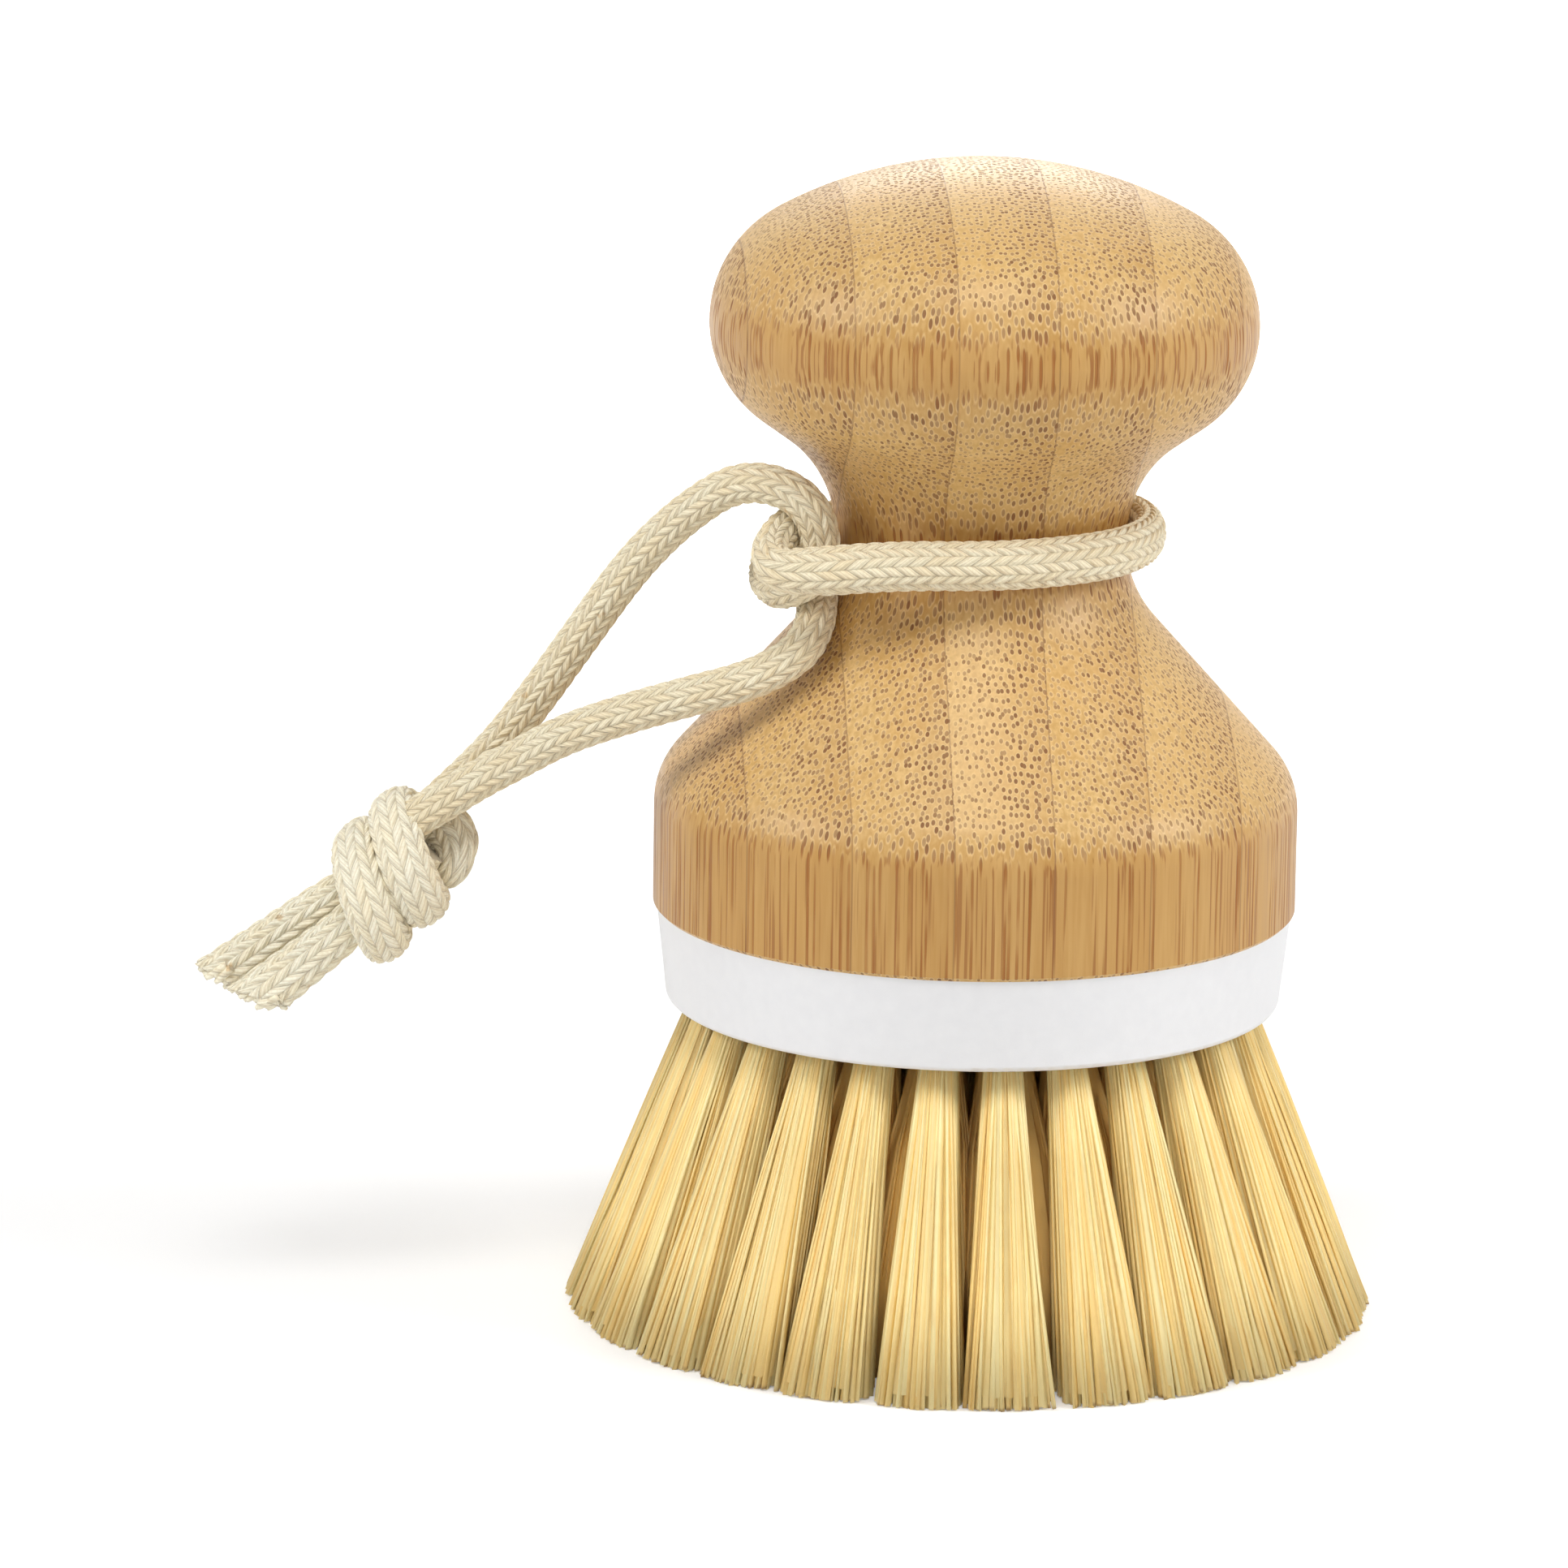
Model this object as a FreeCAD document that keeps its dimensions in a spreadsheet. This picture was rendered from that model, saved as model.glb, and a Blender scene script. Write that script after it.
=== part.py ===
import FreeCAD, Part
import math
import os

import Sketcher
from FreeCAD import Placement, Rotation, Vector

# Driving sizes in millimetres (turns in degrees): name, value, meaning.
SIZES = (
    ("base_radius", 26.0, "bamboo base at its widest"),
    ("seam_height", 33.0, "where the bamboo sits on the bristle head"),
    ("edge_break", 0.3, "chamfer on the lower bamboo edge"),
    ("band_height", 8.3, "straight band of the base"),
    ("neck_rise", 22.2, "from the band to the narrowest place"),
    ("knob_rise", 17.3, "from the narrowest place to the widest place of the knob"),
    ("crown_rise", 13.0, "from the widest place of the knob to the top"),
    ("strip_turn", 5.4, "turn of the glue lines about the axis"),
    ("head_thickness", 7.6, "plastic bristle head without its spigot"),
    ("head_inset", 0.3, "how far the head stands back under the bamboo"),
    ("head_taper", 0.85, "how much narrower the head is below"),
    ("head_round", 0.5, "round on the lower edge of the head"),
    ("spigot_height", 8.0, "spigot that is glued into the bamboo"),
    ("spigot_wall", 2.5, "wall of the cored spigot"),
    ("socket_gap", 0.15, "glue gap round the spigot"),
    ("socket_spare", 0.5, "free depth above the spigot"),
    ("rim_width", 4.5, "from the outer tuft circle to the head's edge"),
    ("hole_depth", 5.5, "depth of a tuft hole along its axis"),
    ("root_spare", 0.3, "free depth under a tuft's fold"),
    ("tuft_root_gap", 0.4, "free room round a tuft's root"),
    ("anchor_thickness", 0.3, "flat wire anchor"),
    ("anchor_bite", 0.3, "how far an anchor's end goes into the plastic"),
    ("anchor_height", 1.8, "width of the wire, along the tuft"),
    ("anchor_cover", 0.4, "fibre above the anchor"),
    ("cord_diameter", 3.3, "braided cotton cord"),
    ("loop_gap", 0.15, "free room between the cord and the neck"),
    ("knot_wrap_radius", 4.1, "centre line of a wrap of the knot"),
    ("end_width", 5.6, "loosened cord end at its cut"),
    ("end_thickness", 2.6, "loosened cord end at its cut"),
)

# Proportions: a round's share of the largest one that fits its hollow, and other shares.
SHARES = (
    ("neck_share", 0.45, "neck radius of the base radius"),
    ("knob_share", 0.8462, "knob radius of the base radius"),
    ("strip_share", 0.302, "one bamboo lamina of the base radius"),
    ("spigot_share", 0.4231, "spigot radius of the base radius"),
    ("shoulder_share", 0.2623, "round between band and flank"),
    ("flank_share", 0.418, "hollow round below the neck"),
    ("collar_share", 0.5135, "hollow round above the neck"),
    ("under_share", 0.4677, "round under the knob"),
    ("dome_share", 0.754, "round above the widest place, of the crown's rise"),
    ("hole_share", 0.3585, "radius of a blind tuft hole, of the row pitch"),
    ("flare_share", 1.4, "tuft circles at the trim plane, of those at the head"),
    ("tip_fill_share", 0.9, "tuft width at the trim plane, of the row pitch there"),
)

# The outer row first; each row is one step nearer to the axis, the last one is the middle tuft.
TUFT_COUNTS = (26, 19, 12, 6, 1)

# Sizes that follow from the others.
DERIVED = (
    ("neck_radius", "base_radius * neck_share"),
    ("knob_radius", "base_radius * knob_share"),
    ("strip_width", "base_radius * strip_share"),
    ("spigot_radius", "base_radius * spigot_share"),
    ("spigot_bore", "spigot_radius - spigot_wall"),
    ("spigot_top", "seam_height + spigot_height"),
    ("socket_radius", "spigot_radius + socket_gap"),
    ("socket_top", "spigot_top + socket_spare"),
    ("band_top", "seam_height + band_height"),
    ("neck_height", "band_top + neck_rise"),
    ("knob_height", "neck_height + knob_rise"),
    ("top_height", "knob_height + crown_rise"),
    ("flank_depth", "base_radius - neck_radius"),
    ("collar_depth", "knob_radius - neck_radius"),
    ("flank_rounds", "(flank_depth ^ 2 + neck_rise ^ 2) / (2 * flank_depth)"),
    ("collar_rounds", "(collar_depth ^ 2 + knob_rise ^ 2) / (2 * collar_depth)"),
    ("shoulder_radius", "flank_rounds * shoulder_share"),
    ("flank_radius", "flank_rounds * flank_share"),
    ("collar_radius", "collar_rounds * collar_share"),
    ("knob_under_radius", "collar_rounds * under_share"),
    ("dome_side_radius", "crown_rise * dome_share"),
    ("head_radius", "base_radius - head_inset"),
    ("head_low_radius", "head_radius - head_taper"),
    ("head_bottom", "seam_height - head_thickness"),
    ("row_pitch", f"(head_radius - rim_width) / {len(TUFT_COUNTS) - 1}"),
    ("hole_radius", "row_pitch * hole_share"),
    ("tuft_root_radius", "hole_radius - tuft_root_gap"),
    ("tuft_root_depth", "hole_depth - root_spare"),
    ("tuft_tip_radius", "tip_fill_share * flare_share * row_pitch / 2"),
    ("anchor_reach", "hole_radius + anchor_bite"),
    ("anchor_depth", "tuft_root_depth - anchor_cover"),
    ("loop_radius", "neck_radius + cord_diameter / 2 + loop_gap"),
)
BEND_SHARE = 0.45
LOOP_CORNER_COUNT = 8
WHOLE_STRIPS = (("bamboo_core_strip", 0), ("bamboo_inner_left_strip", -1), ("bamboo_inner_right_strip", 1))
SIDES = (("left", -1), ("right", 1))

# The cord's route from the knot up the upper strand, round the neck and back down the lower strand.
# Heights count from the neck; the loop's width is that of its right-hand point.
UPPER_ROUTE = (
    (-44.2, -2.5, -24.6), (-40.1, -2.4, -19.7), (-36.2, -2.4, -14.6), (-31.9, -3.0, -8.2), (-27.7, -4.6, -1.9),
    (-23.7, -6.4, 2.5), (-19.3, -8.2, 5.8), (-14.9, -9.6, 5.4), (-12.7, -10.4, 2.7),
)
HITCH_ROUTE = (
    (-13.0, -10.8, -0.7), (-16.0, -8.9, -1.8), (-17.8, -4.6, -1.7), (-17.2, 1.4, -1.1), (-12.7, 7.9, -0.3),
    (-3.0, 14.3, 0.1), (8.0, 12.2, 0.3), (14.3, 3.0, 0.4), (12.2, -8.0, 0.4), (3.0, -14.3, 0.4),
    (-7.5, -14.2, 0.3), (-15.2, -15.2, 0.2), (-18.9, -11.2, 0.4), (-18.4, -6.2, 1.9), (-15.7, -3.7, 3.0),
    (-13.4, -3.9, 1.4), (-13.1, -5.2, -1.5), (-13.1, -7.0, -3.8),
)
LOWER_ROUTE = (
    (-13.1, -9.8, -5.3), (-14.4, -11.4, -7.8), (-18.0, -11.6, -9.8), (-22.9, -11.0, -11.3), (-28.0, -9.8, -13.1),
    (-33.0, -8.4, -15.2), (-36.6, -7.2, -17.5), (-39.9, -6.4, -20.0), (-42.8, -6.2, -22.9),
)

# The knot: centres of its two wraps, its core and its bight, and the axis the wraps go round.
KNOT_RING_CENTRES = ((-48.2, -4.3, -29.1), (-45.3, -4.3, -26.1))
KNOT_CORE_CENTRE = (-46.6, -4.3, -27.5)
KNOT_BIGHT_CENTRE = (-42.6, -4.3, -26.1)
KNOT_AXIS = (-0.88, 0.0, -0.47)

# The loosened ends: centre points from the knot to the cut.
END_A_ROUTE = ((-49.6, -6.0, -29.9), (-54.2, -6.2, -33.7), (-58.2, -6.4, -37.3))
END_B_ROUTE = ((-50.4, -2.8, -28.9), (-55.6, -2.6, -32.6), (-60.6, -2.4, -36.3))
END_CUT_TURN = 22.0

START, END, CENTRE = range(1, 4)
LEVEL_AXIS, UPRIGHT_AXIS = range(-1, -3, -1)
ORIGIN_POINT = (LEVEL_AXIS, START)
UP = Vector(0, 0, 1)

doc = FreeCAD.newDocument("dish_brush")
sheet = doc.addObject("Spreadsheet::Sheet", "sizes")
texts = [(alias, str(value), meaning) for alias, value, meaning in SIZES + SHARES]
texts += [(alias, "=" + formula, "follows from the others") for alias, formula in DERIVED]
for row, (alias, text, meaning) in enumerate(texts, start=1):
    sheet.set(f"A{row}", meaning)
    sheet.setAlias(f"B{row}", alias)
    sheet.set(f"B{row}", text)
doc.recompute()
size = {alias: float(sheet.get(alias)) for alias, text, meaning in texts}


def bind(thing, **expressions):
    """Ties properties of an object to the sheet."""
    for name, text in expressions.items():
        thing.setExpression(name, text)


def add(kind, name, label=None, **values):
    thing = doc.addObject(kind, name)
    thing.Label = label or name
    for key, value in values.items():
        setattr(thing, key, value)
    return thing


def cut(name, base, tool):
    return add("Part::Cut", name, Base=base, Tool=tool)


class Outline:
    """A sketch in the XZ plane, drawn as (radius, height) points, that a body turns about Z."""

    def __init__(self, body, name):
        self.sketch = body.newObject("Sketcher::SketchObject", name)
        plane = next(f for f in body.Origin.OriginFeatures if f.Role == "XZ_Plane")
        self.sketch.AttachmentSupport = (plane, [""])
        self.sketch.MapMode = "FlatFace"

    def line(self, first, last):
        geometry = Part.LineSegment(Vector(*first), Vector(*last))
        return (self.sketch.addGeometry(geometry, False), START, END)

    def arc(self, centre, first, last, hollow=False):
        begin, finish = (last, first) if hollow else (first, last)
        angles = [math.atan2(p[1] - centre[1], p[0] - centre[0]) for p in (begin, finish)]
        circle = Part.Circle(Vector(*centre), UP, math.dist(centre, first))
        index = self.sketch.addGeometry(Part.ArcOfCircle(circle, *angles), False)
        return (index, END, START) if hollow else (index, START, END)

    def tie(self, kind, *references):
        return self.sketch.addConstraint(Sketcher.Constraint(kind, *references))

    def meet(self, piece, following, kind="Coincident"):
        self.tie(kind, piece[0], piece[2], following[0], following[1])

    def measure(self, name, kind, references, value, text):
        index = self.tie(kind, *references, value)
        self.sketch.renameConstraint(index, name)
        self.sketch.setExpression("Constraints." + name, text)

    def place(self, name, piece, point, value, across=None, up=None):
        """Gives a point its distance from the axis and its height."""
        if across:
            self.measure(name + "_r", "DistanceX", (*ORIGIN_POINT, piece[0], point), value[0], across)
        if up:
            self.measure(name + "_z", "DistanceY", (*ORIGIN_POINT, piece[0], point), value[1], up)

    def turned(self, body, name):
        solid = body.newObject("PartDesign::Revolution", name)
        solid.Profile = self.sketch
        solid.ReferenceAxis = (self.sketch, ["V_Axis"])
        solid.Angle = 360
        self.sketch.Visibility = False
        return solid


def inner_tangents(centre_1, radius_1, centre_2, radius_2):
    """Touch points of the two lines that pass between two circles."""
    across = (centre_2[0] - centre_1[0], centre_2[1] - centre_1[1])
    opening = math.acos((radius_1 + radius_2) / math.hypot(*across))
    base = math.atan2(across[1], across[0])
    pairs = []
    for angle in (base + opening, base - opening):
        way = (math.cos(angle), math.sin(angle))
        touch_1 = (centre_1[0] + radius_1 * way[0], centre_1[1] + radius_1 * way[1])
        touch_2 = (centre_2[0] - radius_2 * way[0], centre_2[1] - radius_2 * way[1])
        pairs.append((touch_1, touch_2))
    return pairs


def handle_blank():
    """The turned knob handle before it is divided into its laminae."""
    s = size
    body = add("PartDesign::Body", "handle_blank")
    outline = Outline(body, "handle_outline")
    neck = (s["neck_radius"], s["neck_height"])
    equator = (s["knob_radius"], s["knob_height"])
    shoulder_centre = (s["base_radius"] - s["shoulder_radius"], s["band_top"])
    flank_centre = (neck[0] + s["flank_radius"], neck[1])
    collar_centre = (neck[0] + s["collar_radius"], neck[1])
    under_centre = (equator[0] - s["knob_under_radius"], equator[1])
    side_centre = (equator[0] - s["dome_side_radius"], equator[1])
    flank = max(inner_tangents(shoulder_centre, s["shoulder_radius"], flank_centre, s["flank_radius"]))
    under = min(inner_tangents(collar_centre, s["collar_radius"], under_centre, s["knob_under_radius"]))
    rise = equator[1] - s["top_height"]
    side = s["dome_side_radius"]
    dome_radius = (side ** 2 - side_centre[0] ** 2 - rise ** 2) / (2 * rise + 2 * side)
    dome_centre = (0.0, s["top_height"] - dome_radius)
    reach = math.dist(dome_centre, side_centre)
    dome_start = tuple(c + side * (c - d) / reach for c, d in zip(side_centre, dome_centre))
    foot_in = (s["socket_radius"], s["seam_height"])
    foot_out = (s["base_radius"] - s["edge_break"], s["seam_height"])
    band_low = (s["base_radius"], s["seam_height"] + s["edge_break"])
    band_high = (s["base_radius"], s["band_top"])
    top = (0.0, s["top_height"])
    socket_mid = (0.0, s["socket_top"])
    socket_edge = (s["socket_radius"], s["socket_top"])

    foot = outline.line(foot_in, foot_out)
    chamfer = outline.line(foot_out, band_low)
    band = outline.line(band_low, band_high)
    shoulder = outline.arc(shoulder_centre, band_high, flank[0])
    slope = outline.line(*flank)
    hollow_low = outline.arc(flank_centre, flank[1], neck, hollow=True)
    hollow_high = outline.arc(collar_centre, neck, under[0], hollow=True)
    underside = outline.line(*under)
    knob_under = outline.arc(under_centre, under[1], equator)
    knob_side = outline.arc(side_centre, equator, dome_start)
    dome = outline.arc(dome_centre, dome_start, top)
    middle = outline.line(top, socket_mid)
    socket_face = outline.line(socket_mid, socket_edge)
    socket_wall = outline.line(socket_edge, foot_in)

    for pair in ((foot, chamfer), (chamfer, band), (dome, middle), (middle, socket_face),
                 (socket_face, socket_wall), (socket_wall, foot)):
        outline.meet(*pair)
    for pair in ((band, shoulder), (shoulder, slope), (slope, hollow_low), (hollow_low, hollow_high),
                 (hollow_high, underside), (underside, knob_under), (knob_under, knob_side), (knob_side, dome)):
        outline.meet(*pair, kind="Tangent")
    for piece in (foot, socket_face):
        outline.tie("Horizontal", piece[0])
    for piece in (band, middle, socket_wall):
        outline.tie("Vertical", piece[0])
    outline.tie("PointOnObject", middle[0], START, UPRIGHT_AXIS)
    outline.tie("PointOnObject", dome[0], CENTRE, UPRIGHT_AXIS)
    for arc, point in ((hollow_low, hollow_low[2]), (knob_under, knob_under[2])):
        outline.tie("Horizontal", arc[0], point, arc[0], CENTRE)
    for arc, alias in ((shoulder, "shoulder_radius"), (hollow_low, "flank_radius"), (hollow_high, "collar_radius"),
                       (knob_under, "knob_under_radius"), (knob_side, "dome_side_radius")):
        outline.measure(alias, "Radius", (arc[0],), s[alias], "sizes." + alias)
    outline.place("socket", foot, START, foot_in, "sizes.socket_radius", "sizes.seam_height")
    outline.place("socket_top", socket_wall, START, socket_edge, up="sizes.socket_top")
    outline.place("foot", foot, END, foot_out, "sizes.base_radius - sizes.edge_break")
    outline.place("band_low", band, START, band_low, "sizes.base_radius", "sizes.seam_height + sizes.edge_break")
    outline.place("band_high", band, END, band_high, up="sizes.band_top")
    outline.place("neck", hollow_low, hollow_low[2], neck, "sizes.neck_radius", "sizes.neck_height")
    outline.place("knob", knob_under, knob_under[2], equator, "sizes.knob_radius", "sizes.knob_height")
    outline.place("top", middle, START, top, up="sizes.top_height")
    outline.turned(body, "handle_turning")
    return body


def lamina(label, blank, low_edge, width, low="sizes.seam_height", high="sizes.top_height"):
    """The part of the blank in one slab: low_edge and width across the glue lines, low and high in height."""
    reach = "(sizes.base_radius * 2)"
    turn = "(sizes.strip_turn * 1 deg)"
    slab = add("Part::Box", label + "_slab")
    bind(slab, Length=width, Width=f"2 * {reach}", Height=f"{high} - ({low})")
    spot = (f"vector(({low_edge}) * cos({turn}) + {reach} * sin({turn}); "
            f"({low_edge}) * sin({turn}) - {reach} * cos({turn}); {low})")
    bind(slab, Placement=f"placement({spot}; rotation(vector(0; 0; 1); {turn}))")
    return add("Part::Common", label, Base=slab, Tool=blank)


def laminae(blank):
    pieces = []
    for label, step in WHOLE_STRIPS:
        pieces.append(lamina(label, blank, f"sizes.strip_width * {step - 0.5}", "sizes.strip_width"))
    outer = "sizes.base_radius * 2"
    for level, low, high in (("base", "sizes.seam_height", "sizes.neck_height"),
                             ("knob", "sizes.neck_height", "sizes.top_height")):
        for side, sign in SIDES:
            near = "sizes.strip_width * 1.5" if sign > 0 else "-sizes.strip_width * 2.5"
            far = "sizes.strip_width * 2.5" if sign > 0 else f"-sizes.strip_width * 2.5 - {outer}"
            pieces.append(lamina(f"{level}_{side}_strip", blank, near, "sizes.strip_width", low, high))
            pieces.append(lamina(f"{level}_{side}_edge_strip", blank, far, outer, low, high))
    return pieces


def head_blank():
    """The plastic disc with its spigot, before holes."""
    s = size
    body = add("PartDesign::Body", "head_blank")
    outline = Outline(body, "head_outline")
    bottom = s["head_bottom"]
    spigot_top = s["spigot_top"]
    bore = s["spigot_bore"]
    low_radius = s["head_low_radius"]
    lean = math.atan2(s["head_taper"], s["head_thickness"])
    reach = s["head_round"] * math.tan((math.pi / 2 - lean) / 2)
    floor_end = (low_radius - reach, bottom)
    wall_start = (low_radius + reach * math.sin(lean), bottom + reach * math.cos(lean))
    round_centre = (floor_end[0], bottom + s["head_round"])
    rim = (s["head_radius"], s["seam_height"])
    points = [(0.0, bottom), floor_end, wall_start, rim, (s["spigot_radius"], s["seam_height"]),
              (s["spigot_radius"], spigot_top), (bore, spigot_top), (bore, s["seam_height"]), (0.0, s["seam_height"])]
    floor = outline.line(points[0], points[1])
    edge = outline.arc(round_centre, floor_end, wall_start)
    wall = outline.line(points[2], points[3])
    face = outline.line(points[3], points[4])
    spigot = outline.line(points[4], points[5])
    ring = outline.line(points[5], points[6])
    inside = outline.line(points[6], points[7])
    seat = outline.line(points[7], points[8])
    middle = outline.line(points[8], points[0])
    for pair in ((wall, face), (face, spigot), (spigot, ring), (ring, inside), (inside, seat), (seat, middle),
                 (middle, floor)):
        outline.meet(*pair)
    for pair in ((floor, edge), (edge, wall)):
        outline.meet(*pair, kind="Tangent")
    for piece in (floor, face, ring, seat):
        outline.tie("Horizontal", piece[0])
    for piece in (spigot, inside, middle):
        outline.tie("Vertical", piece[0])
    outline.tie("PointOnObject", middle[0], START, UPRIGHT_AXIS)
    outline.measure("head_round", "Radius", (edge[0],), s["head_round"], "sizes.head_round")
    outline.place("floor", floor, START, points[0], up="sizes.head_bottom")
    outline.place("rim", wall, END, rim, "sizes.head_radius", "sizes.seam_height")
    outline.place("spigot", spigot, END, points[5], "sizes.spigot_radius", "sizes.spigot_top")
    outline.place("bore", inside, END, points[7], "sizes.spigot_bore", "sizes.seam_height")
    lean_text = "atan(sizes.head_taper / sizes.head_thickness)"
    outline.place("edge", edge, CENTRE, round_centre,
                  f"sizes.head_low_radius - sizes.head_round * tan(45 deg - {lean_text} / 2)")
    outline.turned(body, "head_turning")
    return body


def row_pieces(row):
    """One tuft of a row with its hole and anchor, in the plane of +X."""
    bottom = "sizes.head_bottom"
    root = f"(sizes.row_pitch * {len(TUFT_COUNTS) - 1 - row})"
    lean = f"atan((sizes.flare_share - 1) * {root} / {bottom})"
    turn = f"rotation(vector(0; 1; 0); 180 deg - {lean})"
    free_length = f"{bottom} / cos({lean})"
    half_wire = "sizes.anchor_thickness / 2"

    def spot(depth, aside="0", wire="0"):
        return (f"placement(vector({root} - {depth} * sin({lean}) + {wire} * cos({lean}); {aside}; "
                f"{bottom} + {depth} * cos({lean}) + {wire} * sin({lean})); {turn})")

    name = f"row_{row + 1}"
    cone = add("Part::Cone", name + "_fibres")
    bind(cone, Radius1="sizes.tuft_root_radius", Radius2="sizes.tuft_tip_radius",
         Height=f"sizes.tuft_root_depth + {free_length} + sizes.tuft_tip_radius * tan({lean})",
         Placement=spot("sizes.tuft_root_depth"))
    hole = add("Part::Cylinder", name + "_hole")
    bind(hole, Radius="sizes.hole_radius", Height="sizes.hole_depth + sizes.hole_radius",
         Placement=spot("sizes.hole_depth"))
    anchor = add("Part::Box", name + "_anchor")
    bind(anchor, Length="sizes.anchor_thickness", Width="2 * sizes.anchor_reach", Height="sizes.anchor_height",
         Placement=spot("sizes.anchor_depth", "-sizes.anchor_reach", half_wire))
    trimmed = cut(name + "_trimmed", cone, trim_block)
    return cut(name + "_tuft", trimmed, anchor), hole, anchor


def ringed(master, row, index, name):
    """A copy of a row's master, turned to its place in the row."""
    step = 360.0 / TUFT_COUNTS[row]
    angle = -90.0 + step * (index + 0.5)
    copy = add("Part::Compound", name, Links=[master])
    copy.Placement = Placement(Vector(), Rotation(UP, angle))
    return copy


def bristles():
    """All tufts and anchors as nodes, and the tools that make room for them in the head."""
    nodes, holes, anchors = [], [], []
    for row, count in enumerate(TUFT_COUNTS):
        tuft, hole, anchor = row_pieces(row)
        row_name = f"row_{row + 1}"
        tufts = []
        row_anchors = []
        for index in range(count):
            label = f"tuft_{index + 1:02d}" if row == 0 else f"{row_name}_tuft_{index + 1:02d}"
            tufts.append(ringed(tuft, row, index, label))
            holes.append(ringed(hole, row, index, f"{row_name}_hole_{index + 1:02d}"))
            row_anchors.append(ringed(anchor, row, index, f"{row_name}_anchor_{index + 1:02d}"))
        nodes += tufts if row == 0 else [add("Part::Compound", f"tufts_{row_name}", Links=tufts)]
        nodes.append(add("Part::Compound", f"tuft_anchors_{row_name}", Links=row_anchors))
        anchors += row_anchors
    return nodes, add("Part::Compound", "tuft_holes", Links=holes), add("Part::Compound", "anchor_slots", Links=anchors)


def beside_neck(point):
    """A point of the cord at its place, moved in or out with the loop and up with the neck."""
    loop_point = max(HITCH_ROUTE)
    corner_reach = size["loop_radius"] / math.cos(math.pi / LOOP_CORNER_COUNT)
    spread = corner_reach / math.hypot(loop_point[0], loop_point[1])
    return Vector(point[0] * spread, point[1] * spread, point[2] + size["neck_height"])


def rounded_paths(points, divided_runs):
    """Straight runs joined by tangent arcs, as lists of edges that part in the middle of the divided runs."""
    points = [beside_neck(p) for p in points]
    paths, bends = [[]], [[]]
    here = points[0]

    def straight(run, finish):
        if run in divided_runs:
            half_way = (here + finish) * 0.5
            paths[-1].append(Part.LineSegment(here, half_way).toShape())
            paths.append([Part.LineSegment(half_way, finish).toShape()])
            bends.append([])
        else:
            paths[-1].append(Part.LineSegment(here, finish).toShape())

    for run, (before, corner, after) in enumerate(zip(points, points[1:], points[2:])):
        into = corner - before
        out = after - corner
        cut_back = BEND_SHARE * min(into.Length, out.Length)
        turn = into.getAngle(out)
        into.normalize()
        out.normalize()
        arc_start = corner - into * cut_back
        arc_end = corner + out * cut_back
        radius = cut_back / math.tan(turn / 2)
        inward = (out - into).normalize()
        arc_middle = corner + inward * (radius / math.cos(turn / 2) - radius)
        straight(run, arc_start)
        paths[-1].append(Part.Arc(arc_start, arc_middle, arc_end).toShape())
        bends[-1].append(radius)
        here = arc_end
    straight(len(points) - 2, points[-1])
    return paths, bends


def cord_tube(label, edges, bends):
    wire = Part.Wire(edges)
    path = add("Part::Feature", label + "_path", Shape=wire)
    section = add("Part::Circle", label + "_section")
    bind(section, Radius="sizes.cord_diameter / 2")
    start, following = (edges[0].valueAt(edges[0].getParameterByLength(at)) for at in (0, edges[0].Length))
    section.Placement = Placement(start, Rotation(UP, following - start))
    names = [f"Edge{k + 1}" for k in range(len(wire.Edges))]
    tube = add("Part::Sweep", label, Sections=[section], Spine=(path, names), Solid=True, Frenet=False)
    doc.recompute()
    expected = math.pi * (size["cord_diameter"] / 2) ** 2 * wire.Length
    print(label, "length", round(wire.Length, 1), "smallest bend radius", round(min(bends), 2),
          "volume share", round(tube.Shape.Volume / expected, 4))
    return tube


def cord_tubes():
    route = UPPER_ROUTE + HITCH_ROUTE + LOWER_ROUTE
    divided_runs = (len(UPPER_ROUTE) - 1, len(UPPER_ROUTE + HITCH_ROUTE) - 1)
    labels = ("cord_upper_strand", "cord_neck_hitch", "cord_lower_strand")
    return [cord_tube(*args) for args in zip(labels, *rounded_paths(route, divided_runs))]


def loose_end(label, points):
    """A cord end that opens from round to wide and flat, cut on the slant."""
    centres = [beside_neck(p) for p in points]
    way = (centres[-1] - centres[0]).normalize()
    across = way.cross(Vector(0, 1, 0)).normalize()
    widths = ("sizes.cord_diameter / 2", "(sizes.cord_diameter + sizes.end_width) / 4", "sizes.end_width / 2")
    depths = ("sizes.cord_diameter / 2.2", "(sizes.cord_diameter + sizes.end_thickness) / 4", "sizes.end_thickness / 2")
    sections = []
    for index, centre in enumerate(centres):
        slant = END_CUT_TURN * index / (len(centres) - 1)
        frame = Rotation(across, Vector(0, 1, 0), way, "ZXY")
        slanted = Rotation(Vector(0, 1, 0), slant).multiply(frame)
        section = add("Part::Ellipse", f"{label}_section_{index + 1}")
        bind(section, MajorRadius=widths[index], MinorRadius=depths[index])
        section.Placement = Placement(centre, slanted)
        sections.append(section)
    return add("Part::Loft", label, Sections=sections, Solid=True, Ruled=False)


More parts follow.
